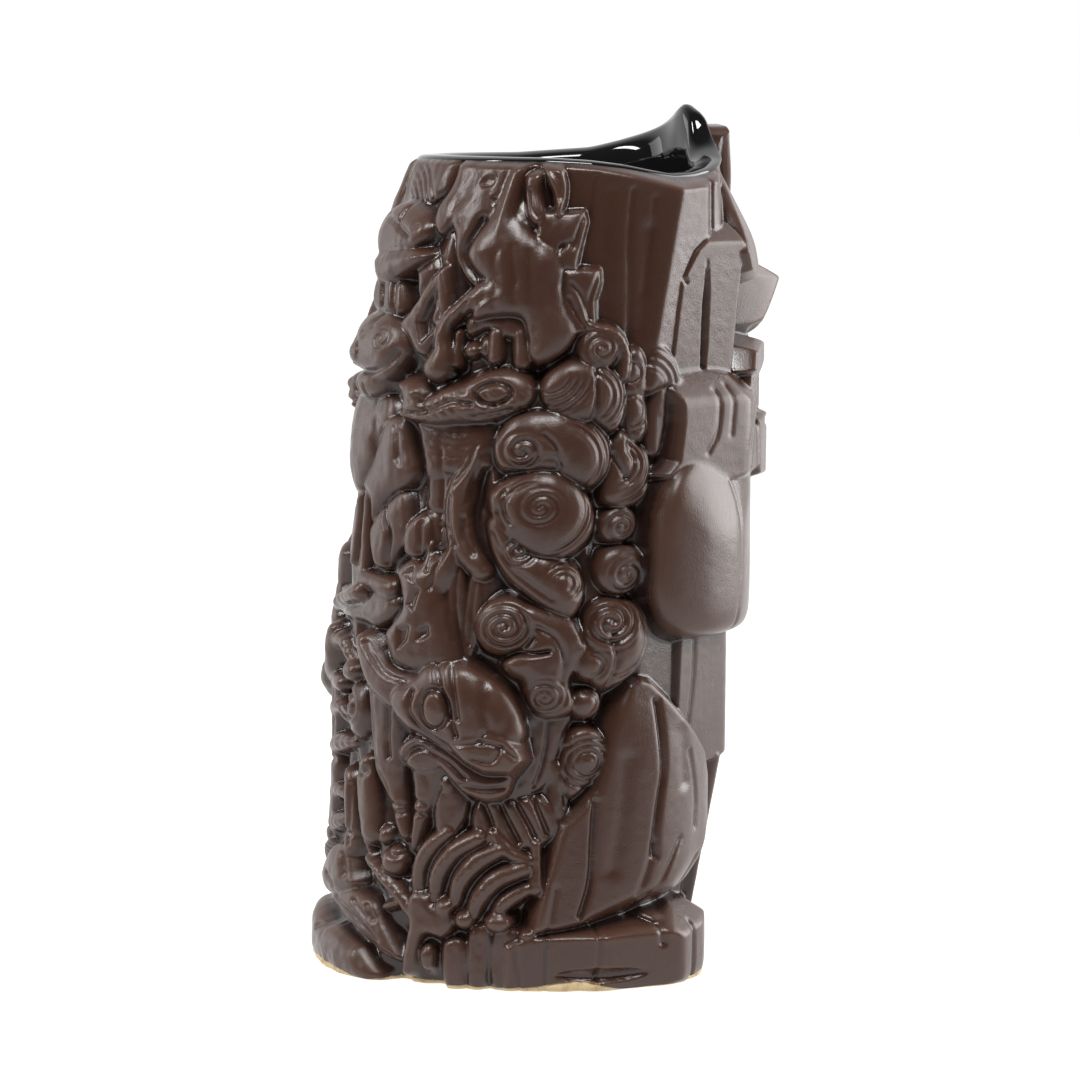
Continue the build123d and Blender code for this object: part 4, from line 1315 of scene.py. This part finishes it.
def piece_mesh(name, mask, top, bottom, normals, fields):
    """The closed mesh of the squares in mask: their top, their underside and the walls between."""
    rows, cols = np.nonzero(mask)
    right = (cols + 1) % columns
    corner = rows * columns
    quads = np.stack([
        corner + cols, corner + columns + cols, corner + columns + right, corner + right,
    ], axis=1)
    used, quads = np.unique(quads, return_inverse=True)
    quads = quads.reshape(-1, 4)
    count = len(used)
    edges = np.stack([quads, np.roll(quads, -1, axis=1)], axis=-1).reshape(-1, 2)
    key = edges[:, 0] * count + edges[:, 1]
    rim = edges[~np.isin(key, edges[:, 1] * count + edges[:, 0])]
    walls = np.stack([rim[:, 1], rim[:, 0], rim[:, 0] + count, rim[:, 1] + count], axis=1)
    faces = np.concatenate([quads, walls, quads[:, ::-1] + count])
    mesh = make_mesh(name, np.concatenate([top[used], bottom[used]]), faces)
    set_normals(mesh, normals[used], len(quads), faces)
    for field, values in fields.items():
        attribute = mesh.attributes.new(field, "FLOAT", "POINT")
        attribute.data.foreach_set("value", np.tile(values[used], 2).astype(np.float32))
    return mesh


def set_normals(mesh, normals, top_count, faces):
    """Shades the top by the whole clay surface, so that neighbouring pieces meet without a seam."""
    flat = np.empty(len(mesh.polygons) * 3, np.float32)
    mesh.polygons.foreach_get("normal", flat)
    loops = np.repeat(flat.reshape(-1, 3), 4, axis=0)
    loops[: top_count * 4] = normals[faces[:top_count].ravel()]
    mesh.normals_split_custom_set(loops)


def build_clay(material):
    """Makes every piece of the brown clay. Returns its height over the bare cup."""
    clay = sculpt()
    finish_clay(clay)
    height = clay.height
    owner = without_specks(clay.owner[:-1], SMALLEST_PIECE)
    owner = without_corners(split_ground(owner, clay.names))
    points = positions(height)
    normals = surface_normals(points)
    # How far each sample stands above or below its surroundings. The brown glaze uses these to darken the
    # hollows (pooled glaze with painted shade) and pale the high edges (thin glaze with a painted
    # highlight).
    fields = {
        "fine": (height - blur(height, 0.7, 0.7)).ravel(),
        "hollow": (height - blur(height, 2.6, 2.6)).ravel(),
    }
    top, flat_normals = points.reshape(-1, 3), normals.reshape(-1, 3)
    bottom = positions(DEEP + bulge(theta_grid, z_grid, rim_line)).reshape(-1, 3)
    for number, name in enumerate(clay.names):
        mask = owner == number
        if mask.any():
            mesh = piece_mesh(name, mask, top, bottom, flat_normals, fields)
            add_object(name + ".sculpt", mesh, material, cad_nodes_of(name))
    return height


# Pieces that stand for CAD nodes of another name
ALIASES = {
    "flank_right": ("flanks",), "shin_right": ("shins",), "hand_right": ("hand_right", "claw_hand"),
    "scroll_middle_left": ("scrolls_left",), "smoke_puffs": ("smoke_puffs_right",),
}


def cad_nodes_of(name):
    """The CAD nodes a piece replaces: none for one that the CAD leaves out."""
    return [node for node in ALIASES.get(name, (name,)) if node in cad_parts]


# ---- the cup inside the clay
SPOKES = 240
OVERLAP = 0.4    # how far the core reaches past the liner's outside


def closed_rings(rings):
    """Faces between rings of points, and a fan that closes each end on a point of its own."""
    here = np.arange(SPOKES)
    after = (here + 1) % SPOKES
    last = (rings - 1) * SPOKES
    bottom, top = rings * SPOKES, rings * SPOKES + 1
    faces = []
    for row in range(rings - 1):
        low, high = row * SPOKES, (row + 1) * SPOKES
        faces.append(np.stack([low + here, high + here, high + after, low + after], 1))
    faces.append(np.stack([np.full(SPOKES, bottom), here, after], 1))
    faces.append(np.stack([np.full(SPOKES, top), last + after, last + here], 1))
    return [tuple(face) for part in faces for face in part.tolist()]


def shell(name, profile):
    """A closed shell round the cup. profile gives, for each ring, how far it is from the cup's
    surface and its height."""
    angle = -np.pi + 2 * np.pi * np.arange(SPOKES) / SPOKES
    rings = []
    for over, z in profile(angle):
        z = np.broadcast_to(z, angle.shape)
        reach = np.broadcast_to(over, angle.shape) + radius(z)
        rings.append(np.stack([-np.sin(angle) * reach, -shift(z) - np.cos(angle) * reach, z], axis=-1))
    points = np.concatenate([*rings, [rings[0].mean(axis=0), rings[-1].mean(axis=0)]])
    mesh = bpy.data.meshes.new(name)
    mesh.from_pydata((points * MM).tolist(), [], closed_rings(len(rings)))
    mesh.polygons.foreach_set("use_smooth", np.ones(len(mesh.polygons), bool))
    mesh.update()
    mesh.validate()
    return mesh


def around(values, angle):
    """Values given at each column of samples, read at other angles."""
    return np.interp(angle, theta, values, period=2 * np.pi)


CORE_FLOOR = 6.2


def core_profile(angle):
    """Bottom to top outside, then down inside to the floor."""
    rim = around(rim_line, angle)
    for part in np.linspace(0, 1, 30):
        z = 0.8 + part * (rim - 1.2)
        yield bulge(angle, z, rim) - 1.2, z
    for part in np.linspace(1, 0, 30):
        z = CORE_FLOOR + part * (rim - CORE_FLOOR - 0.4)
        yield bulge(angle, z, rim) - WALL + OVERLAP, z
    yield -radius(CORE_FLOOR) * 0.5, CORE_FLOOR


def crest(angle):
    """How far the lip rises into its black peak over the idol's forehead."""
    width = np.where(angle < 0, 24, 14)
    return (CREST_TOP - RIM_RIGHT[0, 1] - 0.8) * np.exp(-np.abs(np.degrees(angle) / width) ** 1.8)


def pushed_in(angle):
    """How far the lip leans in beside the topknot, from 0 to 1."""
    return np.exp(-np.abs(np.degrees(angle) / 18) ** 2.4)


# The rounded lip from outside to inside: how far from the cup's surface, and above the rim
LIP = [
    (0.9, -0.9), (1.35, -0.35), (1.4, 0.1), (1.15, 0.5), (0.5, 0.75), (-0.5, 0.85), (-1.7, 0.8),
    (-2.9, 0.5), (-3.9, -0.1), (-4.5, -1.1), (-4.75, -2.6),
]


def liner_profile(angle):
    """From the middle of the floor's underside, up behind the wall, over the rounded lip, and down
    inside to the middle of the floor."""
    rim = around(rim_line, angle)
    peak, push = crest(angle), pushed_in(angle)
    inner = LIP[-1][0]
    yield -33, FLOOR - 1.2
    yield -WALL + 0.2, FLOOR - 1.2
    for part in np.linspace(0.02, 0.97, 30):
        z = 7 + part * (rim - 9.6)
        yield bulge(angle, z, rim) - WALL + 0.7 - push * np.clip((part - 0.9) * 20, 0, 2), z
    yield -WALL + 0.9 - 2 * push, rim - 1.2
    for over, up in LIP:
        rise = peak * np.clip((up + 0.9) / 1.6, 0, 1)
        yield inner + (over - inner) * (1 - 0.45 * push) - 2 * push - 0.35 * rise, rim + up + rise
    for part in np.linspace(0.98, 0.02, 40):
        z = 7 + part * (rim - 9.6)
        yield bulge(angle, z, rim) - WALL - 0.35 - 2 * push * np.clip(part * 2.2 - 1.2, 0, 1) ** 1.5, z
    yield -WALL - 2.2, FLOOR + 0.9
    yield -WALL - 5, FLOOR + 0.4
    yield -20, FLOOR + 0.1
    yield -33, FLOOR


def foot_profile(angle):
    """A disc of bare clay whose edge is cut back under the glaze."""
    reach = around(clay_height[0], angle)
    glaze_edge = around(foot_line, angle)
    yield -20, 0.0
    yield reach - 2.2, 0.0
    yield reach - 0.5, 0.25
    yield reach - 0.1, 0.7
    yield reach - 0.15, glaze_edge + 0.15
    yield -1.3, glaze_edge + 0.2
    yield -20, 1.4


# ---- materials
class Nodes:
    """Short names for building a material's nodes."""

    def __init__(self, name):
        self.material = bpy.data.materials.new(name)
        self.material.use_nodes = True
        self.tree = self.material.node_tree
        self.shader = self.tree.nodes["Principled BSDF"]
        self.place = self.tree.nodes.new("ShaderNodeTexCoord").outputs["Object"]

    def link(self, source, target):
        if isinstance(source, bpy.types.NodeSocket):
            self.tree.links.new(source, target)
        else:
            target.default_value = source

    def attribute(self, name):
        node = self.tree.nodes.new("ShaderNodeAttribute")
        node.attribute_name = name
        return node.outputs["Fac"]

    def noise(self, scale, detail=3.0, rough=0.5, stretch=(1, 1, 1)):
        mapping = self.tree.nodes.new("ShaderNodeMapping")
        mapping.inputs["Scale"].default_value = stretch
        self.link(self.place, mapping.inputs["Vector"])
        node = self.tree.nodes.new("ShaderNodeTexNoise")
        node.inputs["Scale"].default_value = scale
        node.inputs["Detail"].default_value = detail
        node.inputs["Roughness"].default_value = rough
        self.link(mapping.outputs["Vector"], node.inputs["Vector"])
        return node.outputs["Fac"]

    def between(self, value, low, high, start=0.0, end=1.0):
        """Goes smoothly from start to end while value goes from low to high."""
        node = self.tree.nodes.new("ShaderNodeMapRange")
        node.interpolation_type = "SMOOTHSTEP"
        for socket, given in zip(node.inputs, (value, low, high, start, end)):
            self.link(given, socket)
        return node.outputs["Result"]

    def math(self, kind, a, b):
        node = self.tree.nodes.new("ShaderNodeMath")
        node.operation = kind
        self.link(a, node.inputs[0])
        self.link(b, node.inputs[1])
        return node.outputs["Value"]

    def mix(self, amount, a, b):
        node = self.tree.nodes.new("ShaderNodeMix")
        node.data_type = "RGBA"
        self.link(amount, node.inputs[0])
        self.link((*a, 1) if isinstance(a, tuple) else a, node.inputs[6])
        self.link((*b, 1) if isinstance(b, tuple) else b, node.inputs[7])
        return node.outputs[2]

    def bump(self, height, strength, distance):
        node = self.tree.nodes.new("ShaderNodeBump")
        node.inputs["Strength"].default_value = strength
        node.inputs["Distance"].default_value = distance
        self.link(height, node.inputs["Height"])
        self.link(node.outputs["Normal"], self.shader.inputs["Normal"])

    def set(self, **values):
        for name, value in values.items():
            self.link(value, self.shader.inputs[name.replace("_", " ")])
        return self.material


# Glaze colours: pooled dark with painted shade in the hollows, plain brown, and thin and pale with a
# painted highlight on the high edges.
GLAZE_POOLED_AND_SHADE = (0.018, 0.009, 0.0072)
GLAZE_BROWN = (0.045, 0.0195, 0.0125)
GLAZE_THIN_AND_HIGHLIGHT = (0.062, 0.029, 0.019)
BLACK = (0.004, 0.004, 0.0045)
BLACK_WORN = (0.009, 0.008, 0.008)
CLAY = (0.56, 0.43, 0.24)
CLAY_DARK = (0.30, 0.19, 0.10)
FLOOR_GREYS = (0.30, 0.30, 0.30), (0.32, 0.32, 0.32)
FLOOR_GLOW, FLOOR_DIM = 0.92, 0.06


def brown_glaze():
    """Paler on the high edges, where the glaze breaks thin and a painted highlight is added; darker and
    shiny in the hollows, where the glaze pools and painted shade is added.
    """
    n = Nodes("brown_glaze")
    fine = n.math("MULTIPLY", n.attribute("fine"), 1.6)
    broad = n.math("MULTIPLY", n.attribute("hollow"), 0.55)
    raised = n.math("ADD", fine, broad)
    raised = n.math("ADD", raised, n.between(n.noise(90, 4, 0.55), 0.3, 0.7, -0.12, 0.12))
    # Darker in the hollows: partly glaze that pools there, partly painted shade.
    color = n.mix(n.between(raised, -1.5, -0.05), GLAZE_POOLED_AND_SHADE, GLAZE_BROWN)
    # Paler on the high edges: partly glaze that breaks thin there, partly a painted highlight.
    color = n.mix(n.between(raised, 0.2, 1.1, 0.0, 0.75), color, GLAZE_THIN_AND_HIGHLIGHT)
    rough = n.between(raised, -0.8, 0.5, 0.2, 0.33)
    rough = n.math("ADD", rough, n.between(n.noise(35, 2), 0.3, 0.7, -0.05, 0.05))
    streaks = n.math("MULTIPLY", n.noise(260, 3, 0.5, (1, 1, 0.25)), 0.5)
    skin = n.math("ADD", n.noise(2600, 2, 0.6), streaks)
    n.bump(skin, 0.45, 0.0001)
    return n.set(Base_Color=color, Roughness=rough, Specular_IOR_Level=0.45)


def black_glaze():
    """Shiny black, with faint ripples where it ran."""
    n = Nodes("black_glaze")
    color = n.mix(n.noise(120, 3), BLACK, BLACK_WORN)
    rough = n.between(n.noise(60, 3), 0.3, 0.7, 0.03, 0.07)
    n.bump(n.noise(110, 2, 0.4, (1, 1, 0.4)), 0.1, 0.0003)
    return n.set(Base_Color=color, Roughness=rough, Specular_IOR_Level=0.5)


def bare_clay():
    """Unglazed stoneware with grit and a smudge of glaze here and there."""
    n = Nodes("bare_clay")
    color = n.mix(n.between(n.noise(420, 5, 0.65), 0.42, 0.75), CLAY, CLAY_DARK)
    n.bump(n.noise(1500, 4, 0.7), 0.5, 0.0003)
    return n.set(Base_Color=color, Roughness=n.between(n.noise(200, 3), 0.3, 0.7, 0.72, 0.9))


def toward_camera(tree, place):
    """How far a place is from the frame's upright axis on the camera's side."""
    along = tree.nodes.new("ShaderNodeVectorMath")
    along.operation = "DOT_PRODUCT"
    along.inputs[1].default_value = Vector((CAMERA_AT.x, CAMERA_AT.y, 0)).normalized()
    tree.links.new(place, along.inputs[0])
    return along.outputs["Value"]


def floor_material():
    """White where it is seen and behind the mug, dimmer out of sight in front of it."""
    n = Nodes("studio_floor")
    color = n.mix(n.noise(3, 2), *FLOOR_GREYS)
    glow = n.between(toward_camera(n.tree, n.place), 0.13, 0.34, FLOOR_GLOW, FLOOR_DIM)
    n.set(Emission_Color=(1, 1, 1, 1), Emission_Strength=glow)
    return n.set(Base_Color=color, Roughness=0.9, Specular_IOR_Level=0.1)


# ---- the studio
CAMERA_AT = Vector((-0.7232, 0.2922, 0.172))
CAMERA_LOOKS_AT = Vector((-0.0023, -0.0057, 0.086))
LENS, SENSOR = 127.4, 36
ROOM_LIGHT, ROOM_DIM = 1.0, 0.05     # behind the mug, and behind the camera
LIGHTS_AWAY = 0.9
LIGHTS_AIM = Vector((0, 0, 0.09))
# name, degrees to the right of the camera's own direction, degrees up, size in m, watts
LIGHTS = [
    ("left_strip", -70, 35, (0.10, 0.5), 5),
    ("left_box", -108, 4, (0.5, 0.7), 2.2),
    ("right_box", 101, 12, (0.8, 0.9), 14.5),
    ("top_box", 5, 62, (0.4, 0.2), 7),
]


def aim(thing, target):
    thing.rotation_euler = (target - thing.location).to_track_quat("-Z", "Y").to_euler()


def add_light(name, azimuth, elevation, size, watts):
    """A soft box, aimed at the mug."""
    data = bpy.data.lights.new(name, "AREA")
    data.shape = "RECTANGLE"
    data.size, data.size_y = size
    data.energy = watts
    lamp = bpy.data.objects.new(name, data)
    bpy.context.scene.collection.objects.link(lamp)
    toward = np.arctan2(CAMERA_AT.y, CAMERA_AT.x) + np.radians(azimuth)
    flat = LIGHTS_AWAY * np.cos(np.radians(elevation))
    up = LIGHTS_AWAY * np.sin(np.radians(elevation))
    lamp.location = LIGHTS_AIM + Vector((flat * np.cos(toward), flat * np.sin(toward), up))
    aim(lamp, LIGHTS_AIM)


def shade_room(tree):
    """A white room, dimmer behind the camera."""
    place = tree.nodes.new("ShaderNodeTexCoord").outputs["Generated"]
    ramp = tree.nodes.new("ShaderNodeMapRange")
    ramp.interpolation_type = "SMOOTHSTEP"
    for socket, value in zip(ramp.inputs[1:5], (-0.6, 0.0, ROOM_LIGHT, ROOM_DIM)):
        socket.default_value = value
    tree.links.new(toward_camera(tree, place), ramp.inputs[0])
    tree.links.new(ramp.outputs["Result"], tree.nodes["Background"].inputs["Strength"])
    tree.nodes["Background"].inputs["Color"].default_value = (1, 1, 1, 1)


def add_floor():
    bpy.ops.mesh.primitive_plane_add(size=60)
    floor = bpy.context.object
    floor.name = "studio_floor"
    floor.data.materials.append(floor_material())


def add_camera():
    data = bpy.data.cameras.new("camera")
    data.lens, data.sensor_width = LENS, SENSOR
    camera = bpy.data.objects.new("camera", data)
    bpy.context.scene.collection.objects.link(camera)
    camera.location = CAMERA_AT
    aim(camera, CAMERA_LOOKS_AT)
    bpy.context.scene.camera = camera


def build_studio():
    scene = bpy.context.scene
    scene.view_settings.view_transform = "Standard"
    scene.world = bpy.data.worlds.new("studio")
    scene.world.use_nodes = True
    shade_room(scene.world.node_tree)
    add_floor()
    for light in LIGHTS:
        add_light(*light)
    add_camera()


# ---- build it
brown, black, clay = brown_glaze(), black_glaze(), bare_clay()
clay_height = build_clay(brown)
add_object("cup_core", shell("cup_core", core_profile), brown, ["vessel_wall"])
liner_nodes = ["liner_glaze", "front_crest"]
add_object("liner_and_lip", shell("liner_and_lip", liner_profile), black, liner_nodes)
add_object("foot_ring", shell("foot_ring", foot_profile), clay, ["bare_foot"])
build_studio()
